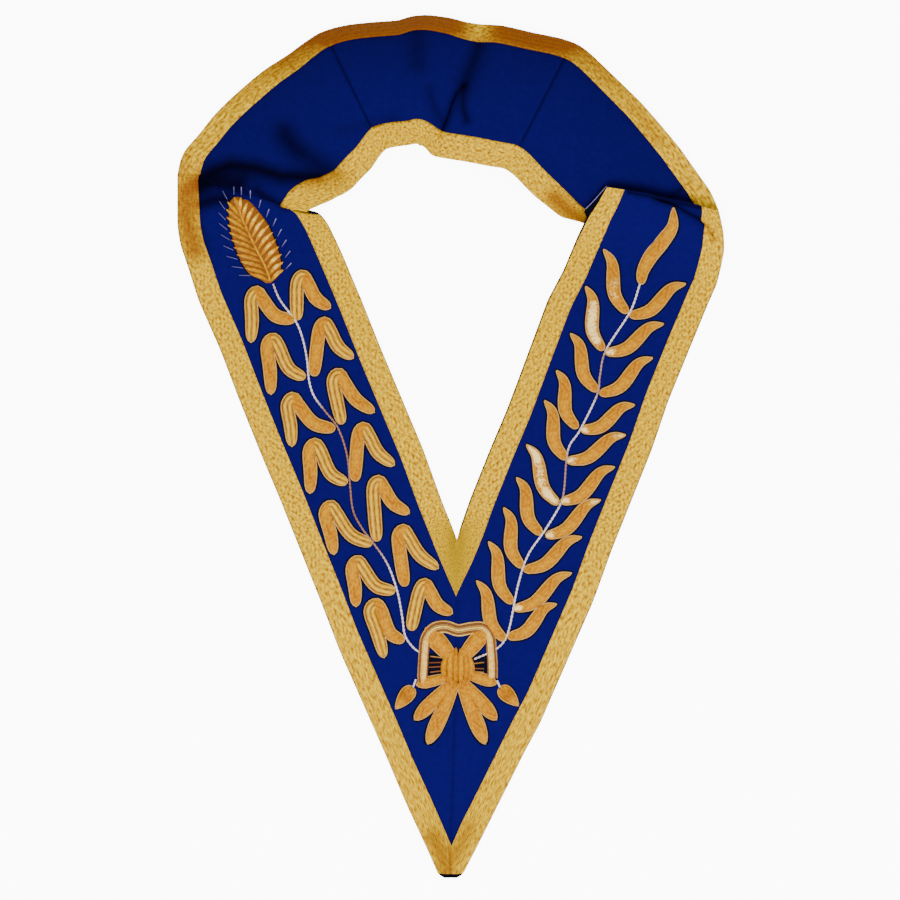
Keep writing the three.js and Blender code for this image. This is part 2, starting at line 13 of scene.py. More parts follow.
import bpy
import numpy as np
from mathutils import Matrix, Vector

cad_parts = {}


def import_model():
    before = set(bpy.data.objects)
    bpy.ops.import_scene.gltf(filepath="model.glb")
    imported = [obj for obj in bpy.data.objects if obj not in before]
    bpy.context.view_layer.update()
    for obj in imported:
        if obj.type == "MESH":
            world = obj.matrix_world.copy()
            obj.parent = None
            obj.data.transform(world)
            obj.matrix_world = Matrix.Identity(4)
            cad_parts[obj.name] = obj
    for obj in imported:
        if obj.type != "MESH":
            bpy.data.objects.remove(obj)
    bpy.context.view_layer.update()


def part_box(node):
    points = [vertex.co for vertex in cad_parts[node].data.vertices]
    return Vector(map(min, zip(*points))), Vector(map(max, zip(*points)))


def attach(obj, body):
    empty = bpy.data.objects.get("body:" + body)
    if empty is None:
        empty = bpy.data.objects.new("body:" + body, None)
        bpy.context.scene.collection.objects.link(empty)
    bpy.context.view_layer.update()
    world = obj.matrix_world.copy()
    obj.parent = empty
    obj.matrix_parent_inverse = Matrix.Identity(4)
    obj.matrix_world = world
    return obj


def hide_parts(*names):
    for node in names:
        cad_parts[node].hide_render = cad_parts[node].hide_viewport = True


LOG = logging.getLogger("collar")
MM = 0.001
# Chart points (x, y), or rows of a place and the value there.
Pair = tuple[float, float]
Pairs = tuple[Pair, ...]
Triple = tuple[float, float, float]
Club = tuple[Pair, Pair, float]
Array = np.ndarray
Number = float | Array
Socket = bpy.types.NodeSocket
# Columns of points over a braid and over the field between the braids.
LACE_COLUMNS = 19
FIELD_COLUMNS = 61
# Embroidered pieces list their finishes as pad, cord (awns, for the ear), dark sheet and then what else they have.
# The dark sheet that shows round a pad is a painted shadow, with the lift and height below.
CORD_INDEX = 1
DARK_SHEET_INDEX = 2
SHADOW_LIFT = 0.05 * MM
SHADOW_HEIGHT = 0.35 * MM
# The least half widths of a blunt tip and of a fine one.
LEAST_TIP = 0.3 * MM
LEAST_END = 0.2 * MM


@dataclass(frozen=True)
class Chart:
    """The layout chart and how it lies in the model's frame."""

    left: float = 178.0
    foot: float = 877.0
    wide: float = 546.0
    tall: float = 858.0
    width: float = 0.377
    length: float = 0.593
    shift: tuple[float, float] = (0.000587, 0.000155)

    @property
    def unit(self) -> float:
        """Metres in a chart unit."""
        return self.width / self.wide

    def plan(self, points: Pair | Pairs | Array) -> Array:
        """Chart points as metres in plan.

        Args:
            points: an array or list of (x, y) in chart units.
        Returns:
            The same points in metres, y upwards from the middle of the collar.
        """
        p = np.asarray(points, float)
        x = ((p[..., 0] - self.left) / self.wide - 0.5) * self.width + self.shift[0]
        y = ((self.foot - p[..., 1]) / self.tall - 0.5) * self.length + self.shift[1]
        return np.stack([x, y], -1)


CHART = Chart()


@dataclass(frozen=True)
class Layers:
    """Lifts of the collar's layers above the surface that it lies on, in metres."""

    lining: float = 1.0 * MM
    cloth_under: float = 1.3 * MM
    cloth: float = 3.1 * MM
    braid_under: float = 3.2 * MM
    braid: float = 4.7 * MM
    braid_share: float = 0.156


LAYERS = Layers()


class Slot(Enum):
    """The material slots that the finishes name."""

    CLOTH = "cloth"
    LINING = "lining"
    BRAID = "gold_braid"
    THREAD = "gold_thread"
    BRIGHT = "bright_purl"
    SILVER = "silver_purl"


def normed(vectors: Array) -> Array:
    """Vectors brought to length 1 along the last axis."""
    return vectors / np.maximum(np.linalg.norm(vectors, axis=-1, keepdims=True), 1e-12)


def leftward(way: Array) -> Array:
    """The level unit vector square to each direction, to its left: (-y, x, 0)."""
    return normed(np.stack([-way[:, 1], way[:, 0], np.zeros(len(way))], 1))


def arc_lengths(points: Array) -> Array:
    """Running length along a path: the sum of its chords up to each point."""
    return np.concatenate([[0.0], np.cumsum(np.linalg.norm(np.diff(points, axis=0), axis=1))])


def eased(points: Array, spread: float, step: float = 0.5 * MM) -> Array:
    """A polyline with its corners rounded: even samples averaged with a Gaussian, its two ends kept.

    Args:
        points: the corners, in metres.
        spread: the Gaussian's standard deviation along the line, in metres.
        step: the spacing of the samples.
    Returns:
        The rounded line's samples.
    """
    run = arc_lengths(points)
    count = max(int(run[-1] / step), 8)
    at = np.linspace(0, run[-1], count)
    line = np.stack([np.interp(at, run, points[:, k]) for k in range(points.shape[1])], 1)
    reach = int(3 * spread / step)
    if reach < 1:
        return line
    kernel = np.exp(-0.5 * (np.arange(-reach, reach + 1) * step / spread) ** 2)
    kernel /= kernel.sum()
    before = 2 * line[0] - line[reach:0:-1]
    after = 2 * line[-1] - line[-2:-reach - 2:-1]
    padded = np.concatenate([before, line, after])
    return np.stack([np.convolve(padded[:, k], kernel, "valid") for k in range(points.shape[1])], 1)


def spline(points: Array, count: int) -> Array:
    """A smooth curve through points: a uniform Catmull-Rom spline, then spaced evenly along its length.

    Args:
        points: the points that the curve passes, in order.
        count: how many samples to return.
    Returns:
        The samples.
    """
    p = np.asarray(points, float)
    ends = np.concatenate([[2 * p[0] - p[1]], p, [2 * p[-1] - p[-2]]])
    t = np.linspace(0, len(p) - 1, 40 * len(p))
    i = np.minimum(t.astype(int), len(p) - 2)
    f = (t - i)[:, None]
    a, b, c, d = (ends[i + k] for k in range(4))
    curve = 0.5 * (2 * b + (c - a) * f + (2 * a - 5 * b + 4 * c - d) * f ** 2 + (3 * b - a - 3 * c + d) * f ** 3)
    run = arc_lengths(curve)
    at = np.linspace(0, run[-1], count)
    return np.stack([np.interp(at, run, curve[:, k]) for k in range(p.shape[1])], 1)


def sampled(points: Array, count: int, t: Array) -> Array:
    """The smooth curve through points, read at the shares t of its length from a number of even samples."""
    return spline(points, count)[(t * (count - 1)).astype(int)]


def near_line(at: Array, line: Array) -> Array:
    """Distance from each plan point to a polyline: the least over its straight parts.

    Args:
        at: the points, (..., 2).
        line: the polyline's corners.
    Returns:
        A distance for each point.
    """
    best = np.full(at.shape[:-1], 1e9)
    for a, b in zip(line[:-1], line[1:]):
        way = b - a
        share = np.clip(((at - a) @ way) / (way @ way), 0, 1)
        best = np.minimum(best, np.linalg.norm(at - a - share[..., None] * way, axis=-1))
    return best


@dataclass(frozen=True)
class Crease:
    """A fold in the cloth along a chart line: its rise in mm, its half width in mm and the shade painted along it."""

    line: Pairs
    rise: float
    wide: float
    shade: float

    def apply(self, at: Array) -> tuple[Array, Array]:
        """Height and shade that the fold adds: a Gaussian bell of the distance from its line.

        Args:
            at: plan points in metres.
        Returns:
            The height in metres and the shade from 0 to 1, for each point.
        """
        bell = np.exp(-(near_line(at, CHART.plan(self.line)) / (self.wide * MM)) ** 2)
        return bell * self.rise * MM, bell * self.shade


@dataclass(frozen=True)
class Tie:
    """A line straight across the ribbon: its two ends on the chart and three heights in mm."""

    inner: Pair
    outer: Pair
    heights: Triple = (0.0, 0.0, 0.0)


@dataclass
class Surface:
    """A grid of the ribbon's underside: points, unit normals, shade and the length and width at each."""

    points: Array
    normals: Array
    shade: Array
    along: Array
    across: Array

    def lifted(self, lift: Number) -> Array:
        """The grid raised along its normals by a lift in metres, one or an array of them."""
        return self.points + self.normals * np.broadcast_to(lift, self.points.shape[:2])[..., None]

    def cut(self, rows: slice, columns: slice) -> "Surface":
        """The part of the grid in the given rows and columns."""
        return Surface(*(values[rows, columns] for values in vars(self).values()))

    def read_at(self, stops: Array, share: Array) -> "Surface":
        """The grid at other shares across, row by row: value = (1 - f) left column + f right column.

        Args:
            stops: the shares across of the grid's columns.
            share: the wanted shares, rows by columns.
        Returns:
            The new grid.
        """
        at = np.clip(np.searchsorted(stops, share, "right") - 1, 0, len(stops) - 2)
        part = (share - stops[at]) / (stops[at + 1] - stops[at])
        row = np.arange(len(share))[:, None]
        grids = []
        for values in vars(self).values():
            f = part[..., None] if values.ndim == 3 else part
            grids.append(values[row, at] * (1 - f) + values[row, at + 1] * f)
        return Surface(*grids)


@dataclass
class Ribbon:
    """One length of the ribbon between its inner and outer edges, tied across at known sections.

    Lean draws a crown as high as peak outwards, as a share of the width. Trim is the share of the width that the
    outer braid loses at the start. Bulge is how far the last stretch, as long as bulge_run, bows forwards. Tone is
    painted shade all over, and glints are chart points round which the lace gets no painted shade and stays light.
    Soft is how far corners are rounded.
    """

    inner: Pairs
    outer: Pairs
    ties: tuple[Tie, ...]
    creases: tuple[Crease, ...] = ()
    lean: float = 0.0
    peak: float = 0.026
    trim: float = 0.0
    bulge: float = 0.0
    bulge_run: float = 50 * MM
    tone: float = 0.0
    glints: Pairs = ()
    soft: float = 2.5 * MM

    def __post_init__(self) -> None:
        """Rounds the edges and finds where the ties meet them."""
        self.edges = [eased(CHART.plan(line), self.soft) for line in (self.inner, self.outer)]
        self.runs = [arc_lengths(edge) for edge in self.edges]
        ends = [CHART.plan([tie.inner for tie in self.ties]), CHART.plan([tie.outer for tie in self.ties])]
        found = []
        for edge, run, at in zip(self.edges, self.runs, ends):
            nearest = np.linalg.norm(edge[None] - at[:, None], axis=2).argmin(1)
            stops = run[nearest]
            stops[0], stops[-1] = 0.0, run[-1]
            found.append(np.maximum.accumulate(stops))
        self.stops = found
        middle = (ends[0] + ends[1]) / 2
        self.at = arc_lengths(middle)
        self.length = float(self.at[-1])

    def _smooth(self, u: Array, values: Array) -> Array:
        """Values at the ties carried to any place by a cubic Hermite curve with monotone (harmonic mean) slopes."""
        step = np.diff(self.at)
        slope = np.diff(values) / step
        a, b = slope[:-1], slope[1:]
        mean = np.where(a * b > 0, 2 * a * b / np.where(a + b == 0, 1, a + b), 0)
        m = np.concatenate([slope[:1], mean, slope[-1:]])
        i = np.clip(np.searchsorted(self.at, u, "right") - 1, 0, len(step) - 1)
        h = step[i]
        t = (u - self.at[i]) / h
        return ((2 * t ** 3 - 3 * t ** 2 + 1) * values[i] + (t ** 3 - 2 * t ** 2 + t) * h * m[i]
                + (3 * t ** 2 - 2 * t ** 3) * values[i + 1] + (t ** 3 - t ** 2) * h * m[i + 1])

    def surface(self, u: Array, v: Array) -> Surface:
        """The underside's grid.

        Plan: the edge points at u joined by a straight line, drawn outwards by lean v (1 - v). Height: the parabola
        through the three tie heights, plus the bell of every crease. Normal: the cross product of the grid's
        differences.

        Args:
            u: places along the ribbon's middle, in metres.
            v: shares of the way across, 0 at the inner edge.
        Returns:
            The surface.
        """
        sides = []
        for edge, run, stops in zip(self.edges, self.runs, self.stops):
            at = self._smooth(u, stops)
            sides.append(np.stack([np.interp(at, run, edge[:, k]) for k in (0, 1)], 1))
        inner, outer = sides
        heights = np.array([tie.heights for tie in self.ties]) * MM
        low, crown, high = (self._smooth(u, heights[:, k])[:, None] for k in range(3))
        braid = 1 - LAYERS.braid_share
        whole = 1 - self.trim * np.clip(1 - u / self.at[1], 0, 1)[:, None]
        w = np.where(v[None] > braid, braid + (v[None] - braid) * (whole - braid) / (1 - braid), v[None])
        w = np.broadcast_to(w, (len(u), len(v)))
        drawn = w + self.lean * crown / self.peak * w * (1 - w)
        plan = inner[:, None] + (outer - inner)[:, None] * drawn[..., None]
        if self.bulge:
            way = normed(np.gradient((inner + outer) / 2, u, axis=0))
            share = np.clip((u - u[-1]) / self.bulge_run + 1, 0, 1) ** 2
            plan = plan + (way * share[:, None])[:, None] * (self.bulge * 4 * w * (1 - w))[..., None]
        z = low * (2 * w - 1) * (w - 1) + crown * 4 * w * (1 - w) + high * w * (2 * w - 1)
        # Painted shade: the tone all over, darker still along every crease.
        shade = np.full_like(z, self.tone)
        for crease in self.creases:
            rise, dark = crease.apply(plan)
            z = z + rise
            shade = 1 - (1 - shade) * (1 - dark)
        points = np.concatenate([plan, np.maximum(z, 0)[..., None]], -1)
        along_way, across_way = np.gradient(points, axis=(0, 1))
        normals = np.cross(along_way, across_way)
        normals = normed(normals * (np.sign(normals[..., 2:3]) + (normals[..., 2:3] == 0)))
        steps = np.linalg.norm(np.diff(points, axis=1), axis=-1)
        across = np.concatenate([np.zeros((len(u), 1)), np.cumsum(steps, 1)], 1)
        along = np.broadcast_to(u[:, None], z.shape)
        return Surface(points, normals, shade, along, across)


@dataclass
class Part:
    """A closed mesh: points, faces, a pattern place in metres and a shade for each point, and its finishes."""

    points: Array
    faces: list[list[int]]
    uv: Array
    shade: Array
    finish: Array | int = 0

    def outward(self) -> "Part":
        """The part with its faces turned outwards: all are reversed where the volume they enclose is negative."""
        fans = [(f[0], f[k], f[k + 1]) for f in self.faces for k in range(1, len(f) - 1)]
        a, b, c = (self.points[list(side)] for side in zip(*fans))
        if np.einsum("ij,ij->i", a, np.cross(b, c)).sum() < 0:
            self.faces = [face[::-1] for face in self.faces]
        return self


def grid_faces(rows: int, columns: int, start: int = 0, around: bool = False) -> Array:
    """Quads of a grid of points, optionally closed round its columns.

    Args:
        rows: rows of points.
        columns: points in a row.
        start: index of the first point.
        around: True where the last column joins the first.
    Returns:
        The corner indices, four to a face.
    """
    i, j = np.meshgrid(np.arange(rows - 1), np.arange(columns if around else columns - 1), indexing="ij")
    k = (j + 1) % columns
    quads = np.stack([i * columns + j, i * columns + k, (i + 1) * columns + k, (i + 1) * columns + j], -1)
    return quads.reshape(-1, 4) + start


def slab(surface: Surface, low: float, high: Number, finish: int = 0) -> Part:
    """A closed sheet between two lifts of a surface: two grids joined by a wall round their rim.

    Args:
        surface: the ribbon's grid.
        low: lift of the underside, in metres.
        high: lift of the upper side, one or an array.
        finish: index of the finish.
    Returns:
        The sheet.
    """
    top, bottom = surface.lifted(high), surface.lifted(low)
    rows, columns = top.shape[:2]
    count = rows * columns
    upper = grid_faces(rows, columns)
    lower = grid_faces(rows, columns, count)[:, ::-1]
    index = np.arange(count).reshape(rows, columns)
    rim = np.concatenate([index[0, :-1], index[:-1, -1], index[-1, :0:-1], index[:0:-1, 0]])
    after = np.roll(rim, -1)
    wall = np.stack([after, rim, rim + count, after + count], -1)
    uv = np.stack([surface.along, surface.across], -1).reshape(-1, 2)
    shade = surface.shade.reshape(-1)
    return Part(np.concatenate([top.reshape(-1, 3), bottom.reshape(-1, 3)]),
                np.concatenate([upper, lower, wall]).tolist(), np.concatenate([uv, uv]),
                np.concatenate([shade, shade]), finish).outward()


def swept(path: Array, side: Array, rise: Array, finish: Number = 0, shade: Number = 0.0) -> Part:
    """A section carried along a path and closed at both ends.

    Each ring is path + sideways * side + up * rise, with sideways level and square to the path, and up square to
    both.

    Args:
        path: the path's points in metres.
        side: the section's sideways reach, rings by points.
        rise: its upward reach, rings by points.
        finish: index of the finish, one or one for each ring.
        shade: the shade, one, one for each ring or one for each point.
    Returns:
        The closed part.
    """
    way = normed(np.gradient(path, axis=0))
    level = leftward(way)
    up = np.cross(way, level)
    side, rise = np.broadcast_arrays(np.atleast_2d(side), np.atleast_2d(rise))
    side, rise = (np.broadcast_to(a, (len(path), a.shape[1])) for a in (side, rise))
    points = path[:, None] + level[:, None] * side[..., None] + up[:, None] * rise[..., None]
    rings, ring = points.shape[:2]
    last = (rings - 1) * ring
    faces = grid_faces(rings, ring, around=True).tolist()
    faces += [list(range(ring))[::-1], [last + k for k in range(ring)]]
    finish = np.broadcast_to(finish, (rings,))
    finish = np.concatenate([np.repeat(finish[:-1], ring), finish[[0, -1]]])
    run = np.broadcast_to(arc_lengths(path)[:, None], (rings, ring))
    uv = np.stack([run, side], -1).reshape(-1, 2)
    shade = np.asarray(shade, float)
    dark = np.broadcast_to(shade[:, None] if shade.ndim == 1 else shade, (rings, ring)).reshape(-1)
    return Part(points.reshape(-1, 3), faces, uv, dark, finish).outward()


def tube(path: Array, radius: Number, sides: int = 6, finish: int = 0, shade: Number = 0.0) -> Part:
    """A round wire along a path: a circle carried along it.

    Args:
        path: the wire's middle line in metres.
        radius: its radius, one or one for each point.
        sides: points in a ring.
        finish: index of the finish.
        shade: the shade, one or one for each ring.
    Returns:
        The wire.
    """
    angle = np.linspace(0, 2 * np.pi, sides, endpoint=False)
    radius = np.broadcast_to(radius, (len(path),))[:, None]
    return swept(path, radius * np.cos(angle), radius * np.sin(angle), finish, shade)


def clustered(count: int) -> Array:
    """Shares from nearly 0 to nearly 1, close together at both ends: half of 1 minus a cosine."""
    return 0.5 - 0.5 * np.cos(np.pi * np.linspace(0.035, 0.965, count))


def pad(path: Array, half: Array, height: float, finish: Number = 0, shade: Number = 0.0) -> Part:
    """Thread wound over padding: a flat-based dome whose width and height follow the half width.

    The dome's side is half * cos a and its rise height * (half / widest)^0.6 * sin(a)^0.75, for a from 0 to pi. A
    shade below 0 is a painted highlight, which falls off from the crown with sin(a)^1.5.

    Args:
        path: the pad's middle line, on the cloth.
        half: half widths in metres, one for each point.
        height: the full height in metres.
        finish: index of the finish, one or one for each ring.
        shade: the shade, one or one for each ring.
    Returns:
        The pad.
    """
    angle = np.linspace(0, np.pi, 15)
    side = np.concatenate([np.cos(angle), [-0.5, 0.0, 0.5]])
    rise = np.concatenate([np.sin(angle) ** 0.75, [0.0, 0.0, 0.0]])
    tall = height * (half / half.max()) ** 0.6
    shade = np.broadcast_to(shade, (len(path),))[:, None]
    crown = np.concatenate([np.sin(angle) ** 1.5, [0.0, 0.0, 0.0]])
    return swept(path, half[:, None] * side, tall[:, None] * rise, finish,
                 np.maximum(shade, 0) + np.minimum(shade, 0) * crown)


@dataclass(frozen=True)
class Relief:
    """Threads pressed into a finish: two pitches in mm and a slant on the piece's UV, depth in mm and strength."""

    along: float
    across: float
    slant: float
    depth: float
    strength: float


@dataclass(frozen=True)
class Streak:
    """A colour pattern on the piece's own UV: its two pitches in mm, its slant and how strong it is."""

    along: float
    across: float
    slant: float
    weight: float


@dataclass(frozen=True)
class Finish:
    """A finish: its main, second and shaded colours, its gloss, its relief and its patterns.

    Stretch, where it isn't 0, draws the mottle out along the UV. Grain and spread are the mottle's scale and
    contrast. Chips is the weight of the facets, mark that of the grooves. Deep is the colour of painted shade, where
    the shade is above 0, and lit the colour of a painted highlight, where the shade is below 0.
    """

    name: str
    slot: Slot
    main: Triple
    second: Triple
    deep: Triple
    roughness: float
    metallic: float
    relief: Relief
    streak: Streak = Streak(900.0, 900.0, 0.0, 0.0)
    specular: float = 0.5
    stretch: float = 0.0
    grain: float = 900.0
    spread: float = 0.5
    chips: float = 0.0
    mark: float = 0.5
    lit: Triple | None = None


class Nodes:
    """A node tree written as calls, each of which adds a node."""

    def __init__(self, tree: bpy.types.NodeTree) -> None:
        """Takes the tree that it adds to."""
        self.tree = tree

    def feed(self, node: bpy.types.Node, inputs: dict) -> bpy.types.Node:
        """Links or sets the inputs of a node.

        Args:
            node: the node.
            inputs: a socket or a plain value for each input's name or number.
        Returns:
            The same node.
        """
        for key, value in inputs.items():
            if isinstance(value, Socket):
                self.tree.links.new(value, node.inputs[key])
            else:
                node.inputs[key].default_value = value
        return node

    def add(self, kind: str, inputs: dict, **settings) -> bpy.types.bpy_prop_collection:
        """Adds a node.

        Args:
            kind: its type, after the word ShaderNode.
            inputs: its inputs, as for feed.
            **settings: its own properties.
        Returns:
            Its outputs.
        """
        node = self.tree.nodes.new(f"ShaderNode{kind}")
        for name, value in settings.items():
            setattr(node, name, value)
        return self.feed(node, inputs).outputs

    def math(self, operation: str, *values) -> Socket:
        """A Math node fed by sockets or numbers; its result socket."""
        return self.add("Math", dict(enumerate(values)), operation=operation)[0]

    def mixed(self, factor: Socket, first: Socket | Triple, second: Triple) -> Socket:
        """A colour, socket or tuple, mixed with a second one by a factor; the result socket."""
        first = first if isinstance(first, Socket) else (*first, 1.0)
        return self.add("Mix", {"Factor": factor, 6: first, 7: (*second, 1.0)}, data_type="RGBA")[2]

    def blended(self, base: Socket, extra: Socket, weight: float) -> Socket:
        """base (1 - weight) + extra weight; the result socket."""
        return self.math("MULTIPLY_ADD", extra, weight, self.math("MULTIPLY", base, 1 - weight))

    def clamped(self, value: Socket) -> Socket:
        """A value held between 0 and 1; the result socket."""
        return self.add("Clamp", {"Value": value})[0]

    def group(self, shared: bpy.types.NodeTree, place: Socket,
              **values: float) -> bpy.types.bpy_prop_collection:
        """A shared group read at a place, with its own values; its outputs."""
        return self.add("Group", {"Place": place, **values}, node_tree=shared)


class Looks:
    """Makes the materials, and the node groups that they share."""

    ROUGH_SPREAD = 0.16
    LIT_GAIN = -1.5
    FLAKE_LOSS = -1.1
    FLAKE_SCALE = 900.0

    def __init__(self) -> None:
        """Builds the shared groups: threads, mottle and chips."""
        self.threads, self.mottle, self.chips = self._threads(), self._mottle(), self._chips()
        self.made: dict[str, bpy.types.Material] = {}

    @staticmethod
    def _group(name: str, inputs: dict[str, float], outputs: tuple[str, ...]) -> tuple:
        """An empty group that reads a vector called Place.

        Args:
            name: the group's name.
            inputs: number inputs and their defaults.
            outputs: number outputs.
        Returns:
            Its nodes, the sockets of its inputs and its output node.
        """
        tree = bpy.data.node_groups.new(name, "ShaderNodeTree")
        tree.interface.new_socket("Place", in_out="INPUT", socket_type="NodeSocketVector")
        for key, value in inputs.items():
            tree.interface.new_socket(key, in_out="INPUT", socket_type="NodeSocketFloat").default_value = value
        for key in outputs:
            tree.interface.new_socket(key, in_out="OUTPUT", socket_type="NodeSocketFloat")
        return Nodes(tree), tree.nodes.new("NodeGroupInput").outputs, tree.nodes.new("NodeGroupOutput")

    def _threads(self) -> bpy.types.NodeTree:
        """Height = 1/2 + 1/2 cos(2 pi (x + slant y) / along) cos(2 pi y / across)."""
        nodes, into, out = self._group("wound_threads", {"Along": 0.001, "Across": 0.001, "Slant": 0.0}, ("Height",))
        x, y, _ = nodes.add("SeparateXYZ", {0: into["Place"]})
        leaned = nodes.math("MULTIPLY_ADD", y, into["Slant"], x)
        waves = [nodes.math("COSINE", nodes.math("MULTIPLY", nodes.math("DIVIDE", run, pitch), 2 * np.pi))
                 for run, pitch in ((leaned, into["Along"]), (y, into["Across"]))]
        nodes.feed(out, {"Height": nodes.math("MULTIPLY_ADD", nodes.math("MULTIPLY", *waves), 0.5, 0.5)})
        return nodes.tree

    def _mottle(self) -> bpy.types.NodeTree:
        """Factor = noise at a scale, stretched round one half by a contrast."""
        nodes, into, out = self._group("thread_mottle", {"Scale": 900.0, "Contrast": 2.0}, ("Factor",))
        noise = nodes.add("TexNoise", {"Vector": into["Place"], "Scale": into["Scale"], "Detail": 3.0})
        centred = nodes.math("SUBTRACT", noise["Fac"], 0.5)
        nodes.feed(out, {"Factor": nodes.clamped(nodes.math("MULTIPLY_ADD", centred, into["Contrast"], 0.5))})
        return nodes.tree

    def _chips(self) -> bpy.types.NodeTree:
        """Facet = a random value for each Voronoi cell; Height = one minus the distance to its middle."""
        nodes, into, out = self._group("purl_chips", {"Scale": 900.0}, ("Facet", "Height"))
        cells = nodes.add("TexVoronoi", {"Vector": into["Place"], "Scale": into["Scale"]})
        nodes.feed(out, {"Facet": nodes.add("SeparateColor", {0: cells["Color"]})["Red"],
                         "Height": nodes.math("SUBTRACT", 1.0, cells["Distance"])})
        return nodes.tree

    def _height(self, nodes: Nodes, own: Socket, pattern: Relief | Streak) -> Socket:
        """The height of a pattern of threads on the piece's own UV; its socket."""
        return nodes.group(self.threads, own, Along=pattern.along * MM, Across=pattern.across * MM,
                           Slant=pattern.slant)["Height"]

    def material(self, finish: Finish) -> bpy.types.Material:
        """The material of a finish, made once.

        Colour: main to second by mottle, by the threads' grooves, by the streak and by chips, then to the lit colour,
        a painted highlight, where the piece's shade is below 0 and to the deep one, painted shade, where it is above.
        Relief: threads and chips as height.

        Args:
            finish: the finish.
        Returns:
            The material.
        """
        if finish.name in self.made:
            return self.made[finish.name]
        material = bpy.data.materials.new(finish.name)
        material.use_nodes = True
        nodes = Nodes(material.node_tree)
        place = nodes.add("TexCoord", {})
        own, ground = place["UV"], place["Object"]
        height = self._height(nodes, own, finish.relief)
        if finish.stretch:
            ground = nodes.add("VectorMath", {0: own, 1: (finish.stretch, 1.0, 1.0)}, operation="MULTIPLY")[0]
        mottle = nodes.group(self.mottle, ground, Scale=finish.grain, Contrast=finish.spread * 4)["Factor"]
        groove = nodes.math("MULTIPLY", nodes.math("SUBTRACT", 1.0, height), finish.mark)
        mask = nodes.math("MAXIMUM", mottle, groove)
        if finish.streak.weight:
            mask = nodes.blended(mask, self._height(nodes, own, finish.streak), finish.streak.weight)
        if finish.chips:
            chips = nodes.group(self.chips, place["Object"], Scale=finish.grain)
            mask = nodes.blended(mask, chips["Facet"], finish.chips)
            height = nodes.math("MULTIPLY_ADD", chips["Height"], finish.chips, height)
        colour = nodes.mixed(mask, finish.main, finish.second)
        # The shade attribute carries painted shade above 0 and, below 0, a painted highlight broken up by flakes.
        shade = nodes.add("Attribute", {}, attribute_name="shade")["Fac"]
        if finish.lit:
            flakes = nodes.group(self.chips, place["Object"], Scale=self.FLAKE_SCALE)["Facet"]
            glow = nodes.math("MULTIPLY_ADD", shade, self.LIT_GAIN, nodes.math("MULTIPLY", flakes, self.FLAKE_LOSS))
            colour = nodes.mixed(nodes.clamped(glow), colour, finish.lit)
        rough = nodes.math("MULTIPLY_ADD", mask, self.ROUGH_SPREAD, finish.roughness - self.ROUGH_SPREAD / 2)
        relief = {"Distance": finish.relief.depth * MM, "Strength": finish.relief.strength, "Height": height}
        nodes.feed(nodes.tree.nodes["Principled BSDF"], {
            "Base Color": nodes.mixed(nodes.clamped(shade), colour, finish.deep), "Roughness": rough,
            "Metallic": finish.metallic, "Specular IOR Level": finish.specular,
            "Normal": nodes.add("Bump", relief)["Normal"]})
        self.made[finish.name] = material
        return material


SILK = Finish("royal_blue_silk", Slot.CLOTH, (0.005, 0.0002, 0.086), (0.0035, 0.0002, 0.066),
              (0.0001, 0.0001, 0.005), 0.8, 0.0, Relief(0.9, 200.0, 0.0, 0.12, 0.35), specular=0.02,
              grain=260.0, spread=0.35, mark=0.3)
LINING = Finish("navy_lining", Slot.LINING, (0.0015, 0.0015, 0.010), (0.001, 0.001, 0.006),
                (0.0005, 0.0005, 0.002), 0.85, 0.0, Relief(0.7, 0.7, 0.0, 0.1, 0.4), specular=0.05, grain=400.0)
LACE = Finish("gold_lace", Slot.BRAID, (0.94, 0.60, 0.0), (0.24, 0.07, 0.0), (0.20, 0.045, 0.0),
              0.6, 0.0, Relief(1.3, 3.4, 0.5, 0.3, 0.9), Streak(7.0, 3.8, 0.6, 0.22), specular=0.1, stretch=0.8,
              grain=560.0, spread=0.8, mark=0.25)
AMBER = Finish("matt_gold_thread", Slot.THREAD, (0.62, 0.285, 0.0), (0.32, 0.085, 0.0), (0.18, 0.04, 0.0),
               0.65, 0.0, Relief(0.45, 200.0, 0.5, 0.12, 0.5), Streak(30.0, 9.5, 0.3, 0.4), specular=0.08,
               stretch=0.6, grain=620.0, spread=1.0, mark=0.25, lit=(1.0, 0.70, 0.24))
CORD = Finish("pale_edge_cord", Slot.THREAD, (0.66, 0.40, 0.13), (0.42, 0.19, 0.03), (0.2, 0.06, 0.02),
              0.6, 0.0, Relief(0.9, 200.0, 1.0, 0.2, 0.8), specular=0.15, grain=800.0, mark=0.6)
# The coil's streak paints lengthwise lines of bright yellow and brown: painted highlights along the coils and painted
# shade at their edges.
PURL = Finish("gold_purl_coil", Slot.THREAD, (0.84, 0.46, 0.0), (0.15, 0.035, 0.0), (0.18, 0.05, 0.0),
              0.45, 0.0, Relief(1.2, 200.0, 0.5, 0.25, 0.7), Streak(900.0, 3.4, 0.0, 0.7), specular=0.2,
              stretch=0.4, grain=620.0, spread=1.1, mark=0.3, lit=(1.0, 0.74, 0.28))
BRIGHT = Finish("bright_purl_coil", Slot.BRIGHT, (1.0, 0.72, 0.20), (0.80, 0.42, 0.03), (0.16, 0.035, 0.004),
                0.35, 0.0, Relief(1.5, 200.0, 0.7, 0.3, 0.8), specular=0.3, grain=420.0, spread=1.2, chips=0.3,
                mark=0.4)
GRAIN = Finish("grain_purl", Slot.THREAD, (0.76, 0.38, 0.0), (0.42, 0.14, 0.0), (0.17, 0.04, 0.0),
               0.5, 0.0, Relief(0.8, 200.0, 0.8, 0.2, 0.7), specular=0.2, grain=500.0, spread=0.7, mark=0.3,
               lit=(1.0, 0.68, 0.14))
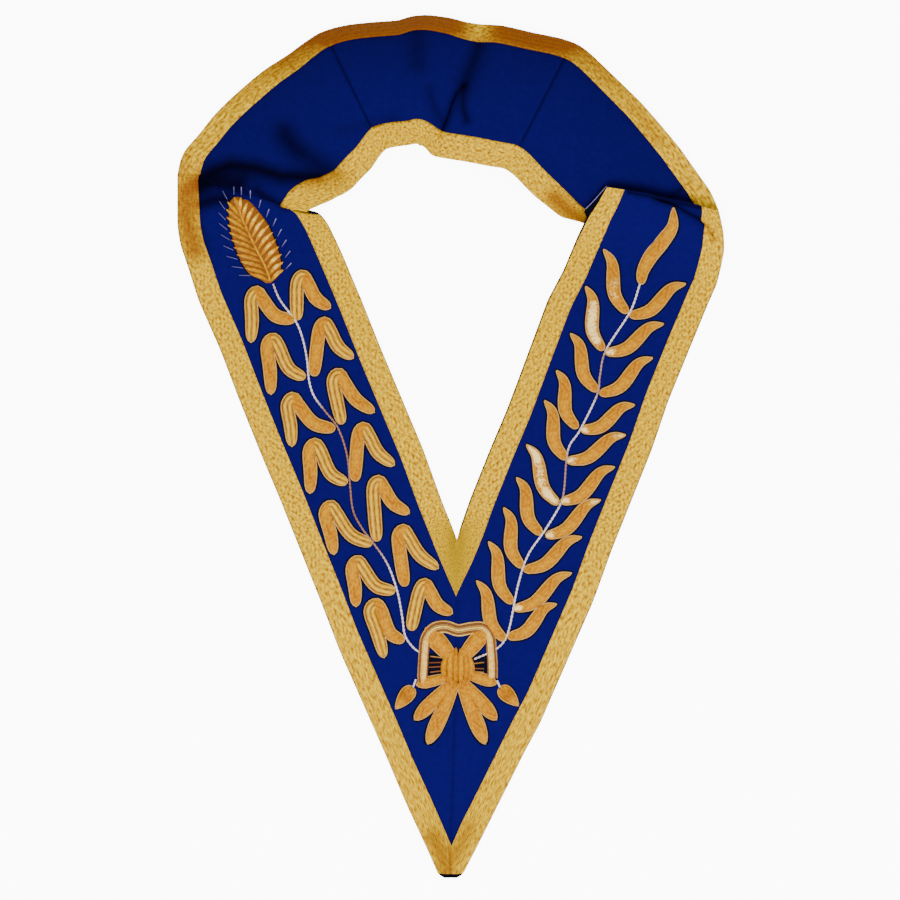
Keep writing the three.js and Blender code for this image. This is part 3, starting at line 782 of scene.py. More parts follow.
SILVER = Finish("silver_purl_coil", Slot.SILVER, (0.92, 0.84, 0.90), (0.66, 0.52, 0.54), (0.24, 0.085, 0.03),
                0.3, 0.3, Relief(0.9, 200.0, 0.9, 0.25, 0.8), grain=600.0, mark=0.4)
AWN = Finish("pale_awn_strand", Slot.SILVER, (0.26, 0.24, 0.50), (0.16, 0.14, 0.36), (0.01, 0.008, 0.12),
             0.5, 0.0, Relief(0.6, 200.0, 0.0, 0.05, 0.2), specular=0.2, grain=300.0)


def linked(name: str, data: bpy.types.ID) -> bpy.types.Object:
    """An object made of some data and linked to the scene."""
    thing = bpy.data.objects.new(name, data)
    bpy.context.scene.collection.objects.link(thing)
    return thing


class Bench:
    """Makes the pieces from closed parts and ties each to the CAD node that it stands for."""

    def __init__(self) -> None:
        """Starts with its finishes and no pieces."""
        self.looks = Looks()
        self.pieces: dict[str, bpy.types.Object] = {}

    def add(self, name: str, parts: list[Part], *finishes: Finish) -> None:
        """One object from closed parts, with its finishes, pattern places and shade.

        Args:
            name: the CAD node that it replaces.
            parts: its closed parts.
            *finishes: its finishes, in the order of the parts' indices.
        """
        starts = np.cumsum([0] + [len(part.points) for part in parts])
        faces = [[k + int(start) for k in face] for part, start in zip(parts, starts) for face in part.faces]
        mesh = bpy.data.meshes.new(f"{name}_worked")
        mesh.from_pydata(np.concatenate([part.points for part in parts]).tolist(), [], faces)
        corners = np.empty(len(mesh.loops), np.int32)
        mesh.loops.foreach_get("vertex_index", corners)
        uv = np.concatenate([part.uv for part in parts])[corners]
        mesh.uv_layers.new(name="pattern").data.foreach_set("uv", uv.astype(np.float32).reshape(-1))
        shade = np.concatenate([part.shade for part in parts]).astype(np.float32)
        mesh.attributes.new("shade", "FLOAT", "POINT").data.foreach_set("value", shade)
        index = np.concatenate([np.broadcast_to(part.finish, (len(part.faces),)) for part in parts])
        mesh.polygons.foreach_set("material_index", index.astype(np.int32))
        mesh.polygons.foreach_set("use_smooth", np.ones(len(faces), bool))
        for finish in finishes:
            mesh.materials.append(self.looks.material(finish))
        mesh.update()
        piece = linked(f"{name}_worked", mesh)
        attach(piece, "root")
        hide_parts(name)
        self.pieces[name] = piece
        LOG.info("%s: %d faces", name, len(faces))


def ends_dense(start: float, end: float, step: float) -> Array:
    """Places from start to end at about a step, with a few close together at both ends for a rolled edge."""
    close = np.array([0.3, 0.8, 1.6, 2.8]) * MM
    even = np.linspace(start, end, max(int((end - start) / step), 4))
    return np.unique(np.concatenate([even, start + close, end - close]))


def across_stops() -> Array:
    """Shares across the ribbon: dense over both braids, and even over the field between them."""
    share = LAYERS.braid_share
    return np.concatenate([np.linspace(0, share, LACE_COLUMNS), np.linspace(share, 1 - share, FIELD_COLUMNS)[1:-1],
                           np.linspace(1 - share, 1, LACE_COLUMNS)])


@dataclass
class CollarRibbon:
    """The lining, the cloth and the lace of one length of the ribbon.

    Cloths and linings name the pieces, each with its start and end along the ribbon. Rim lists, by place, how many mm
    of lining show beyond the inner edge, and flare how much broader the inner braid is, as a share of the width.
    Piping is the length at the end that is piped. Away is how much painted shade the lace gets where it leans to
    the back.
    """

    ribbon: Ribbon
    bench: Bench
    braid_name: str
    cloths: tuple[tuple[str, float, float], ...]
    linings: tuple[tuple[str, float, float], ...]
    rim: Pairs = ((0.0, 0.4),)
    flare: Pairs = ()
    outer_rim: float = 0.6 * MM
    tip_rim: float = 0.0
    tip_fade: float = 2.2
    piping: float = 0.0
    piping_radius: float = 0.32 * MM
    lining_step: float = 2 * MM
    step: float = 1.8 * MM
    seam_dip: float = 0.9 * MM
    seam_run: float = 1.3 * MM
    seam_gap: float = 0.02 * MM
    lace_gap: float = 0.03 * MM
    lace_end: float = 0.12 * MM
    lace_step: float = 1.25 * MM
    lace_lines: float = 4.5
    lace_relief: float = 0.26 * MM
    lace_roll: float = 0.5 * MM
    weave_pitch: float = 2.5 * MM
    away: float = 0.95
    glint: float = 8 * MM

    def _lining(self, node: str, u: Array, surface: Surface) -> None:
        """A lining: a slab that shows as a rim beyond both edges, piped where the ribbon is turned over."""
        way = surface.points[:, -1] - surface.points[:, 0]
        way[:, 2] = 0
        way = normed(way)
        surface.points[:, 0] -= way * (np.interp(u, *np.array(self.rim).T) * MM)[:, None]
        tip = self.tip_rim * np.clip(self.tip_fade * (1 - u / self.ribbon.at[1]), 0, 1)
        surface.points[:, -1] += way * (self.outer_rim + tip)[:, None]
        parts, finishes = [slab(surface, 0.0, LAYERS.lining)], [LINING]
        if self.piping:
            edge = surface.points[:, 0][u > self.ribbon.length - self.piping]
            parts.append(tube(edge + [0, 0, LAYERS.lining + 0.2 * MM], self.piping_radius, 6, 1, 0.3))
            finishes.append(AWN)
        self.bench.add(node, parts, *finishes)

    def _rolled(self, surface: Surface) -> Array:
        """How far each row dips towards the seams: a bell of its distance from the nearest end."""
        run = surface.along[:, :1]
        near = np.minimum(run - run[0], run[-1] - run)
        return self.seam_dip * np.exp(-(near / self.seam_run) ** 2)

    def _lace(self, lace: Surface, share: Array) -> Part:
        """A braid with ridges along it, a weave over them and rolled edges.

        Lift: relief (cos(2 pi lines s) - 1 + 0.4 sin(2 pi along / pitch) sin(2 pi lines s)), less a fall at both
        edges. Shade: its own, with painted shade added where the normal leans to the back, but not round the glints,
        which stay light.

        Args:
            lace: the braid's grid.
            share: the shares s across the braid.
        Returns:
            The braid.
        """
        ridge = np.cos(2 * np.pi * self.lace_lines * share) - 1
        weave = 0.4 * np.sin(2 * np.pi * lace.along / self.weave_pitch) * np.sin(2 * np.pi * self.lace_lines * share)
        edge = self.lace_roll * (np.exp(-share / 0.03) + np.exp(-(1 - share) / 0.03))
        # Painted shade where the lace leans to the back, taken off round each glint.
        tilt = np.clip((lace.normals[..., 1] - 0.28) / 0.3, 0, 1) * self.away
        for glint in self.ribbon.glints:
            distance = np.linalg.norm(lace.points[..., :2] - CHART.plan(glint), axis=-1)
            tilt = tilt * (1 - np.exp(-(distance / self.glint) ** 2))
        lace.shade = 1 - (1 - lace.shade) * (1 - tilt) / (1 - self.ribbon.tone)
        lace.across = lace.across - lace.across[:, :1]
        return slab(lace, LAYERS.braid_under, LAYERS.braid + self.lace_relief * (ridge + weave) - edge)

    def build(self) -> None:
        """Builds the lining, the cloth and both braids."""
        stops = across_stops()
        for node, start, end in self.linings:
            u = np.linspace(start, end, max(int((end - start) / self.lining_step), 4))
            self._lining(node, u, self.ribbon.surface(u, stops[::3]))
        for node, start, end in self.cloths:
            u = ends_dense(start + self.seam_gap, end - self.seam_gap, self.step)
            surface = self.ribbon.surface(u, stops)
            self.bench.add(node, [slab(surface, LAYERS.cloth_under, LAYERS.cloth - self._rolled(surface))], SILK)
        u = np.linspace(self.lace_gap, self.ribbon.length - self.lace_gap, int(self.ribbon.length / self.lace_step))
        u = np.unique(np.concatenate([u, u[:1] + self.lace_end, u[-1:] - self.lace_end]))
        surface = self.ribbon.surface(u, stops)
        share = np.linspace(0, 1, LACE_COLUMNS)[None]
        inner = surface.cut(slice(None), slice(0, LACE_COLUMNS))
        if self.flare:
            broad = LAYERS.braid_share + np.interp(u, *np.array(self.flare).T)
            inner = surface.read_at(stops, share * broad[:, None])
        outer = surface.cut(slice(None), slice(-LACE_COLUMNS, None))
        for side, lace in (("inner", inner), ("outer", outer)):
            self.bench.add(f"{self.braid_name}_{side}_braid", [self._lace(lace, share)], LACE)


@dataclass
class ClothTop:
    """The cloth's upper side in an arm and perhaps the next ribbon's start, which the embroidery is laid on."""

    ribbon: Ribbon
    beyond: Ribbon | None = None

    def __post_init__(self) -> None:
        """Samples the cloth's upper side."""
        spans = [(self.ribbon, np.linspace(0, self.ribbon.length, 300))]
        if self.beyond:
            spans.append((self.beyond, np.linspace(1 * MM, 26 * MM, 16)))
        across = np.linspace(0.1, 0.9, 50)
        self.points = np.concatenate(
            [ribbon.surface(u, across).lifted(LAYERS.cloth).reshape(-1, 3) for ribbon, u in spans])

    def laid(self, plan: Array, lift: float = 0.1 * MM) -> Array:
        """Plan points laid on the cloth: the mean of the six nearest samples' heights, by inverse squared distance.

        Args:
            plan: plan points in metres.
            lift: how far above the cloth they lie.
        Returns:
            The points in space, their heights averaged over seven neighbours.
        """
        away = ((plan[:, None] - self.points[None, :, :2]) ** 2).sum(-1) + 1e-9
        near = np.argpartition(away, 6, axis=1)[:, :6]
        weight = 1 / np.take_along_axis(away, near, 1)
        z = (self.points[near, 2] * weight).sum(1) / weight.sum(1)
        z = np.convolve(np.pad(z, 3, "edge"), np.ones(7) / 7, "valid")
        return np.concatenate([plan, z[:, None] + lift], 1)


def outline(path: Array, half: Array, spare: float) -> Array:
    """The line round a pad from its root up one side, round the tip and back: the path moved aside by half + spare.

    Args:
        path: the pad's middle line.
        half: its half widths.
        spare: how far outside the pad the line runs.
    Returns:
        The line's points.
    """
    way = normed(np.gradient(path, axis=0))
    level = leftward(way)
    out = level * (half + spare)[:, None]
    turn = np.linspace(0.25, 0.75, 5)[:, None] * np.pi
    tip = path[-1] + (half[-1] + spare) * (np.cos(turn) * level[-1] + np.sin(turn) * way[-1])
    return np.concatenate([path + out, tip, (path - out)[::-1]])


@dataclass(frozen=True)
class FoldedLeaf:
    """A folded leaf on the chart: its base, its tip, its apex and which of its lobes is bright, inner or outer."""

    name: str
    base: Pair
    tip: Pair
    apex: Pair
    bright: str


@dataclass(frozen=True)
class SlenderLeaf:
    """A slender leaf on the chart: its base, its tip, what is lit and its whole middle line, if it has its own.

    Shine lists the parts with a painted highlight: the shares of the length where each starts and ends, and how
    strong it is.
    """

    name: str
    base: Pair
    tip: Pair
    shine: tuple[Triple, ...] = ()
    line: Pairs = ()


def paired(kind: type, rows: tuple) -> tuple:
    """Leaves of a kind, named left_1, right_1, left_2 and so on in the order of their rows."""
    return tuple(kind(f"{'right' if k % 2 else 'left'}_{k // 2 + 1}", *row) for k, row in enumerate(rows))


FOLDED = paired(FoldedLeaf, (
    ((295, 320), (251, 342), (254, 286), "outer"), ((297, 320), (330, 308), (300, 270), "inner"),
    ((305, 378), (271, 394), (270, 333), "inner"), ((314, 376), (353, 358), (322, 317), "outer"),
    ((335, 429), (292, 446), (290, 392), "outer"), ((342, 424), (374, 412), (336, 368), "inner"),
    ((347, 483), (310, 493), (312, 438), "inner"), ((355, 481), (394, 465), (361, 422), "outer"),
    ((372, 544), (334, 554), (328, 500), "inner"), ((377, 541), (409, 513), (376, 475), "inner"),
    ((395, 591), (356, 606), (355, 555), "inner"), ((405, 586), (438, 568), (401, 524), "outer"),
    ((404, 641), (384, 657), (373, 598), "outer"), ((411, 630), (452, 613), (422, 578), "inner")))
# Shine of slender leaves, as painted highlights: at the base alone, and at the base and the tip.
SPOT = ((0.0, 0.07, 1.2),)
ENDS = SPOT + ((0.90, 1.0, 0.9),)
LAUREL = (SlenderLeaf("top", (641, 284), (673, 209), (), (
    (641, 284), (643, 271), (651, 256), (663, 241), (672, 227), (673, 209))),) + paired(SlenderLeaf, (
        ((627, 313), (604, 250), ((0.28, 0.5, 0.45),)), ((630, 316), (685, 284)),
        ((603, 350), (586, 287), ((0.15, 0.72, 1.05),)), ((606, 353), (663, 324), SPOT),
        ((597, 391), (571, 334)), ((600, 394), (652, 358)),
        ((577, 428), (557, 371)), ((581, 430), (634, 405), SPOT),
        ((566, 459), (545, 401)), ((567, 461), (625, 435), ENDS),
        ((558, 504), (527, 445), ((0.06, 0.22, 1.0), (0.2, 0.8, 0.7), (0.78, 0.95, 1.2))),
        ((561, 502), (614, 467), SPOT),
        ((541, 534), (517, 478)), ((546, 536), (600, 500), ENDS),
        ((522, 567), (504, 508)), ((524, 570), (581, 537)),
        ((512, 603), (489, 542)), ((514, 609), (571, 573), SPOT),
        ((505, 640), (477, 581)), ((508, 637), (556, 604))))
# A folded leaf's line by side, x and upward shifts in chart units: of the middle of its rise, the shoulder before
# the fold, the fold, the shoulder after it and the middle of its fall.
FOLDS = {"left": ((-3.0, -6.0), (8.5, -13.5), (3.0, -6.4), (-2.5, -14.0), (0.8, 0.0)),
         "right": ((-0.5, 0.0), (-2.5, -13.5), (2.8, -6.4), (8.0, -14.0), (-3.0, -2.5))}


@dataclass
class Leaves:
    """The folded leaves of the wheat and the slender leaves of the laurel."""

    bench: Bench
    left: ClothTop
    right: ClothTop
    lobe: float = 8.1 * MM
    slender: float = 9.4 * MM
    bend: float = 5.2
    height: float = 2.0 * MM
    cord: float = 0.5 * MM
    # How far the painted shadow round a pad reaches beyond its cord, before its root and past its tip.
    felt: float = 1.3 * MM
    shadow_root: float = 1.2 * MM
    shadow_tip: float = 1.6 * MM

    def _strip(self, plan: Array, half: Array, top: ClothTop, finish: Number = 0,
               shade: Number = 0.0) -> list[Part]:
        """A pad on the cloth, the cord round it and the dark sheet of painted shadow that shows beyond it.

        Args:
            plan: the middle line in plan.
            half: half widths.
            top: the cloth below.
            finish: index of the pad's finish, one or one for each ring.
            shade: the pad's shade, one or one for each ring.
        Returns:
            The pad, its cord and its painted shadow.
        """
        path = top.laid(plan)
        edge = outline(path, half, 0.5 * self.cord)
        edge[:, 2] += self.cord
        back, ahead = normed(plan[[1, -1]] - plan[[0, -2]])
        longer = np.concatenate([[plan[0] - back * self.shadow_root], plan, [plan[-1] + ahead * self.shadow_tip]])
        felt = half + self.cord + self.felt
        felt = np.concatenate([[felt[0] * 0.6], felt, [felt[-1] * 0.5]])
        return [pad(path, half, self.height, finish, shade),
                tube(np.concatenate([edge, edge[:1]]), self.cord, 6, CORD_INDEX),
                pad(top.laid(longer, SHADOW_LIFT), felt, SHADOW_HEIGHT, DARK_SHEET_INDEX)]

    def folded(self) -> None:
        """The inverted V leaves: one strip climbs from the stem to the fold, turns and hangs from it.

        Half width: L / 2 sqrt(1 - |2 t - 1|^12), a little less at the root and the tip.
        """
        t = clustered(84)
        ends = np.abs(2 * t - 1) / np.abs(2 * t[0] - 1)
        half = self.lobe / 2 * (1 - ends ** 12) ** 0.5 * np.interp(t, [0, 0.2, 0.8, 1], [0.9, 1, 1, 0.8])
        half = np.maximum(half, LEAST_TIP)
        for leaf in FOLDED:
            base, apex, tip = (CHART.plan(p) for p in (leaf.base, leaf.apex, leaf.tip))
            rise, before, fold, after, fall = np.array(FOLDS[leaf.name.split("_")[0]]) * CHART.unit
            first, over, last = apex + before, apex + fold, apex + after
            plan = spline(np.stack([base, (base + first) / 2 + rise, first, over, last,
                                    (last + tip) / 2 + fall, tip]), 400)
            run = arc_lengths(plan)
            turned = run[np.linalg.norm(plan - over, axis=1).argmin()] / run[-1]
            bright = (t < turned) if leaf.bright == "inner" else (t >= turned)
            parts = self._strip(plan[(t * 399).astype(int)], half, self.left, 3 * bright)
            self.bench.add(f"folded_leaf_{leaf.name}", parts, AMBER, CORD, LINING, PURL)

    def laurel(self) -> None:
        """The slender leaves: each bends in a shallow S from its base on the stem to its pointed tip.

        Half width: W / 2 (1 - 0.55 (1 - t)^3) (1 - t^3.2)^0.75, rounded over the first twelfth.
        """
        t = clustered(56)
        width = self.slender / 2 * (1 - 0.55 * (1 - t) ** 3) * (1 - t ** 3.2) ** 0.75
        width *= np.sqrt(1 - np.clip(1 - t / 0.08, 0, 1) ** 2)
        for leaf in LAUREL:
            base, tip = CHART.plan(leaf.base), CHART.plan(leaf.tip)
            way = normed(tip - base)
            bend = np.array([way[1], -way[0]]) * self.bend * CHART.unit * (-1 if leaf.name.startswith("left") else 1)
            line = CHART.plan(leaf.line) if leaf.line else np.stack(
                [base, base + (tip - base) * 0.33 + bend, base + (tip - base) * 0.76 - bend * 0.55, tip])
            half = width * (1.12 if leaf.line else 1.0)
            # The painted highlight along the leaf, passed to the pad as a shade below 0.
            lit = sum((weight * np.clip((t - start) / 0.1 + 1, 0, 1) * np.clip((end - t) / 0.1 + 1, 0, 1)
                       for start, end, weight in leaf.shine), start=np.zeros(len(t)))
            self.bench.add(f"laurel_leaf_{leaf.name}", self._strip(sampled(line, 300, t), half, self.right, 0, -lit),
                           AMBER, CORD, LINING)


@dataclass
class WheatEar:
    """The ear of wheat: rows of grains in chevrons on a bed painted with shade, a fine rib down the middle, and pale
    awns.

    Axis, left and right are its middle and its sides on the chart, each read at the numbers 0 to last. The rows of
    grains start from the foot up to the share topmost, and each grain ends a share, ahead, further up. The awns on
    each side have a first share, a last one and a count, and each at the top has its root and its far end's shade.
    """

    bench: Bench
    top: ClothTop
    axis: Pairs = ((270.5, 282), (265, 266), (255.6, 248), (248.8, 233), (242, 218), (236, 199))
    left: Pairs = (
        (264, 283.5), (249, 273), (239.5, 261), (232.5, 245), (227.5, 227), (226, 213), (227, 202), (234, 197))
    right: Pairs = ((273, 283), (282, 274), (284, 265), (281, 252), (276, 239), (270.5, 227), (262.5, 216),
                    (253, 205.5), (241, 197))
    left_awns: tuple[float, float, int] = (0.14, 0.93, 9)
    right_awns: tuple[float, float, int] = (0.16, 0.80, 7)
    top_awns: tuple[Triple, ...] = ((234, 195, 0.7), (241.5, 195.5, 0.3), (250.5, 199, 0.1))
    awn_radii: Pair = (0.3 * MM, 0.5 * MM)
    awn_lift: float = 1.0 * MM
    rows: int = 12
    topmost: float = 0.83
    ahead: float = 0.17
    grain: float = 3.1 * MM
    grain_height: float = 1.7 * MM
    rib: float = 0.75 * MM
    # How far inside the ear's sides the bed and the painted shadow beyond it stop.
    bed_rim: float = 1.3 * MM
    shadow_rim: float = 0.6 * MM
    last: int = 199

    def _awn(self, root: Array, turn: float, long: float, tones: Pair) -> Part:
        """A fine pale strand from a plan point.

        Args:
            root: where it starts.
            turn: its angle from straight up, in radians, to the right.
            long: its length in chart units.
            tones: its shade at the root and at the far end.
        Returns:
            The strand.
        """
        lean = np.array([np.sin(turn), np.cos(turn)])
        line = self.top.laid(root + lean * (np.linspace(0, long, 9) * CHART.unit)[:, None], self.awn_lift)
        return tube(line, np.linspace(*self.awn_radii, 9), 5, CORD_INDEX, np.linspace(*tones, 9))

    def _bed(self, left: Array, right: Array) -> list[Part]:
        """The bed under the grains, painted with the shade between them, and the dark sheet of painted shadow beyond
        it:
        pads as wide as the two sides are apart.
        """
        pick = (clustered(34) * self.last).astype(int)
        middle = ((left + right) / 2)[pick]
        half = np.linalg.norm(right - left, axis=1)[pick] / 2
        return [pad(self.top.laid(middle), np.maximum(half - self.bed_rim, 0.8 * MM), 1.2 * MM, 0, 0.9),
                pad(self.top.laid(middle, SHADOW_LIFT), half - self.shadow_rim, 0.4 * MM, DARK_SHEET_INDEX)]

    def _grain(self, root: Array, tip: Array, way: Array, side: int) -> Part:
        """One grain: a pad pointed at both ends that leaves the rib along it and bends out to its tip.

        Half width: G / 2 sin(pi t^1.15)^0.65.

        Args:
            root: its start on the rib.
            tip: its end on the ear's side.
            way: the rib's direction there.
            side: -1 for the left side, with painted shade, 1 for the right, which catches the light as a painted
                highlight.
        Returns:
            The grain.
        """
        t = clustered(11)
        bend = (root + tip) / 2 + way * 1.6 * CHART.unit
        path = self.top.laid(sampled(np.stack([root, bend, tip]), 60, t))
        path[:, 2] += 0.8 * MM * (1 - 0.6 * t)
        half = np.maximum(self.grain / 2 * np.sin(np.pi * t ** 1.15) ** 0.65, LEAST_END)
        # Painted shade near the rib and over the left grains, and a painted highlight on the crown of the right ones.
        crown = np.exp(-((t - 0.55) / 0.22) ** 2)
        tones = 0.55 * (1 - t) ** 1.2 + (0.15 if side < 0 else -1.1 * crown)
        return pad(path, half, self.grain_height, 0, tones)

    def build(self) -> None:
        """Builds the bed, the grains, the rib and the awns as one piece."""
        axis, left, right = (spline(CHART.plan(line), self.last + 1) for line in (self.axis, self.left, self.right))
        way = normed(np.gradient(axis, axis=0))
        parts = self._bed(left, right)
        for side, edge in ((-1, left), (1, right)):
            for share in np.linspace(0.0, self.topmost, self.rows):
                k, end = int(share * self.last), int((share + self.ahead) * self.last)
                parts.append(self._grain(axis[k], edge[end], way[k], side))
        parts.append(self._grain(axis[170], axis[self.last], way[180], -1))
        rib = self.top.laid(axis[:190:4], 0.9 * MM)
        parts.append(pad(rib, np.full(len(rib), self.rib), 1.1 * MM, 0, 0.1))
        for share in np.linspace(*self.left_awns):
            turn = np.radians(78 * share - 100)
            root = left[int(share * self.last)] + np.array([np.sin(turn), np.cos(turn)]) * 1.5 * CHART.unit
            parts.append(self._awn(root, turn, 12.5 - 3 * share, (0.6, 0.9)))
        parts += [self._awn(CHART.plan((x, y)), 0.0, 8.0, (0.7, tone)) for x, y, tone in self.top_awns]
        for share in np.linspace(*self.right_awns):
            turn = np.radians(50 - 45 * share)
            root = right[int(share * self.last)] + np.array([np.sin(turn) + 0.5, np.cos(turn)]) * 1.8 * CHART.unit
            parts.append(self._awn(root, turn, 8.5, (0.8, 0.2 - 0.2 * share)))
        self.bench.add("wheat_ear", parts, GRAIN, AWN, LINING)


# Each stem's middle line on the chart, and the shade painted along it as rows of share and shade: low where the stem
# catches the light, high where it looks brown.
WHEAT_STEM = ((273, 284), (280, 300), (296, 322), (303, 340), (307, 360), (309, 380), (314, 396), (325, 411),
              (338, 428), (347, 455), (350, 485), (353, 510), (362, 528), (375, 545), (388, 565), (397, 590),
              (402, 615), (405, 635), (413, 647), (421, 653))
WHEAT_TONES = ((0.0, 0.5), (0.08, 0.1), (0.20, 0.15), (0.30, 0.0), (0.34, 0.9), (0.62, 0.95), (0.72, 0.8),
               (0.78, 0.1), (1.0, 0.05))
LAUREL_STEM = ((640, 284), (630, 312), (606, 350), (600, 375), (597, 395), (580, 430), (568, 450), (564, 490),
               (560, 505), (545, 530), (528, 555), (518, 585), (510, 625), (504, 641), (494, 650), (474, 659))
LAUREL_TONES = ((0.0, 0.0), (0.16, 0.05), (0.19, 0.8), (0.28, 0.75), (0.31, 0.05), (0.42, 0.2), (0.46, 0.85),
                (0.54, 0.8), (0.58, 0.0), (0.9, 0.05), (1.0, 0.35))


@dataclass
class Stems:
    """The two stems: a twisted pair of purl coils with shade painted along them, silver where they catch the light
    and brown elsewhere.
    """

    bench: Bench
    radius: float = 0.47 * MM
    pitch: float = 5.5 * MM

    def build(self, name: str, line: Pairs, tones: Pairs, top: ClothTop) -> None:
        """Builds one stem: two round strands that wind about its middle line.

        Args:
            name: the CAD node that it replaces.
            line: its middle line on the chart.
            tones: pairs of the share of the way and the shade there.
            top: the cloth below.
        """
        path = top.laid(spline(CHART.plan(line), 420), self.radius * 1.3)
        run = arc_lengths(path)
        level = leftward(np.gradient(path, axis=0))
        shade = np.interp(run / run[-1], *np.array(tones).T)
        parts = []
        for phase in (0.0, np.pi):
            angle = 2 * np.pi * run / self.pitch + phase
            strand = path + level * (np.cos(angle) * self.radius * 0.75)[:, None]
            strand[:, 2] += np.sin(angle) * self.radius * 0.4
            parts.append(tube(strand, self.radius, 8, 0, shade))
        self.bench.add(name, parts, SILVER)


@dataclass
class Bow:
    """The bow: a knot of upright strands, two petals, a looped strap of wires, two pairs of tails and two buds.

    Petals, lobes and tails are clubs: root, tip and width on the chart. Wires gives the shade of each wire of the
    strap, down its sides and over its top. Strands gives x, top, foot and shade of each upright strand, a painted
    highlight where it is below 0; each is as wide as strand and bows by the share belly away from the middle. Inner
    gives both ends and the shade of each wire inside the loops. Buds gives the ends of the stalk and the tip.
    """

    bench: Bench
    top: ClothTop
    height: float = 2.3 * MM
    wire: float = 0.56 * MM
    cord: float = 0.42 * MM
    # How far the painted shadow reaches beyond a pad.
    felt: float = 1.5 * MM
    lift: float = 0.6 * MM
    strand: float = 3.1
    middle: float = 458.0
    belly: float = 0.25
    bud: float = 4.8 * MM
    stalk: float = 0.75 * MM
    strap: Pairs = (
        (424, 683), (422.5, 677), (423, 666), (424, 650), (426, 638), (434, 628.5), (446, 626.5), (458, 630),
        (471, 628), (483, 628), (490, 637), (491.5, 650), (492.5, 664), (492.5, 678))
    wires: Pairs = ((0.95, 0.25), (0.1, 0.95), (0.0, 0.6), (0.0, 0.0), (0.35, 0.7), (0.98, 0.95), (0.75, 0.4))
    petals: tuple[Club, ...] = (((456, 662), (426, 628), 17.0), ((459, 662), (487, 628), 15.5))
    lobes: tuple[Club, ...] = (((452, 676), (417, 684.5), 10.0), ((462, 672), (496, 683), 10.5))
    strands: tuple[tuple[float, ...], ...] = (
        (446.5, 655, 681, 0.15), (451.5, 650, 684, -0.05), (456, 647, 687, 0.25), (460.5, 648, 687, 0.0),
        (465, 652, 684, 0.2), (469, 656, 681, 0.0))
    inner: tuple[tuple[float, ...], ...] = (
        (446, 658, 430, 656, 0.8), (446, 662, 429, 662.5, 1.0), (446, 666, 429, 667, 0.97),
        (446, 670, 430, 672, 0.92), (469, 664, 484, 662, 0.85), (469, 668, 484, 668.5, 0.97),
        (469, 671, 484, 672, 0.85))
    tails: tuple[tuple[str, tuple[Club, ...]], ...] = (
        ("left", (((454, 680), (415, 719), 13.0), ((456, 682), (428, 743), 14.0))),
        ("right", (((462, 680), (496, 719), 13.0), ((460, 682), (485, 743), 14.0))))
    buds: tuple[tuple[str, Pairs], ...] = (
        ("left", ((416, 679), (413, 687), (396, 708))), ("right", ((497, 680), (500, 687), (518, 705))))

    def _bordered(self, plan: Array, half: Array, shift: float = 0.0, shade: Number = 0.0) -> list[Part]:
        """A pad on the cloth, the cord round it and the dark sheet of painted shadow that shows beyond it.

        Args:
            plan: the middle line in plan.
            half: half widths.
            shift: how far the painted shadow is moved towards the tip, as a share of the length.
            shade: the pad's shade, one or one for each ring.
        Returns:
            The pad, its cord and its painted shadow.
        """
        path = self.top.laid(plan)
        edge = outline(path, half, 0.2 * MM)
        edge[:, 2] += 0.4 * MM
        felt = self.top.laid(plan + (plan[-1] - plan[0]) * shift, SHADOW_LIFT)
        return [pad(path, half, self.height, 0, shade), tube(edge, self.cord, 6, CORD_INDEX),
                pad(felt, half + self.felt, SHADOW_HEIGHT, DARK_SHEET_INDEX)]

    def _club(self, start: Pair, end: Pair, wide: float) -> list[Part]:
        """A petal, lobe or tail from its root to its tip on the chart, with a cord and painted shadow round it.

        Half width: W / 2 (0.5 + 0.5 sin(2.4 t)), rounded over the last third.
        """
        t = clustered(28)
        last = np.clip((t - 0.7) / (t[-1] - 0.7), 0, 1)
        half = wide / 2 * CHART.unit * (0.5 + 0.5 * np.sin(2.4 * t)) * np.sqrt(1 - last ** 2)
        root, tip = CHART.plan(start), CHART.plan(end)
        return self._bordered(root + (tip - root) * t[:, None], np.maximum(half, LEAST_TIP), 0.03)

    def _line(self, start: Pair, end: Pair, count: int, lift: float) -> Array:
        """A straight line between two chart points, laid on the cloth."""
        return self.top.laid(np.linspace(CHART.plan(start), CHART.plan(end), count), lift)

    def _knot(self) -> None:
        """The knot: both upper petals, the lobes below them, the upright strands and the wires inside the loops."""
        parts = [part for club in self.petals + self.lobes for part in self._club(*club)]
        ground = self._line((426, 664), (489, 664), 20, 0.1 * MM)
        parts.append(pad(ground, np.full(len(ground), 7.5 * MM), 0.5 * MM, DARK_SHEET_INDEX))
        t = clustered(18)
        for x, low, high, tone in self.strands:
            bowed = x + (x - self.middle) * self.belly * np.sin(np.pi * t)
            path = self.top.laid(CHART.plan(np.stack([bowed, high + (low - high) * t], 1)), self.lift)
            half = np.maximum(self.strand * CHART.unit * np.sin(np.pi * t) ** 0.4, LEAST_END)
            parts.append(pad(path, half, self.height, 0, tone))
        for x, y, far_x, far_y, shade in self.inner:
            parts.append(tube(self._line((x, y), (far_x, far_y), 8, self.lift), 0.5 * MM, 6, 3, shade))
        self.bench.add("bow_knot", parts, AMBER, CORD, LINING, BRIGHT)

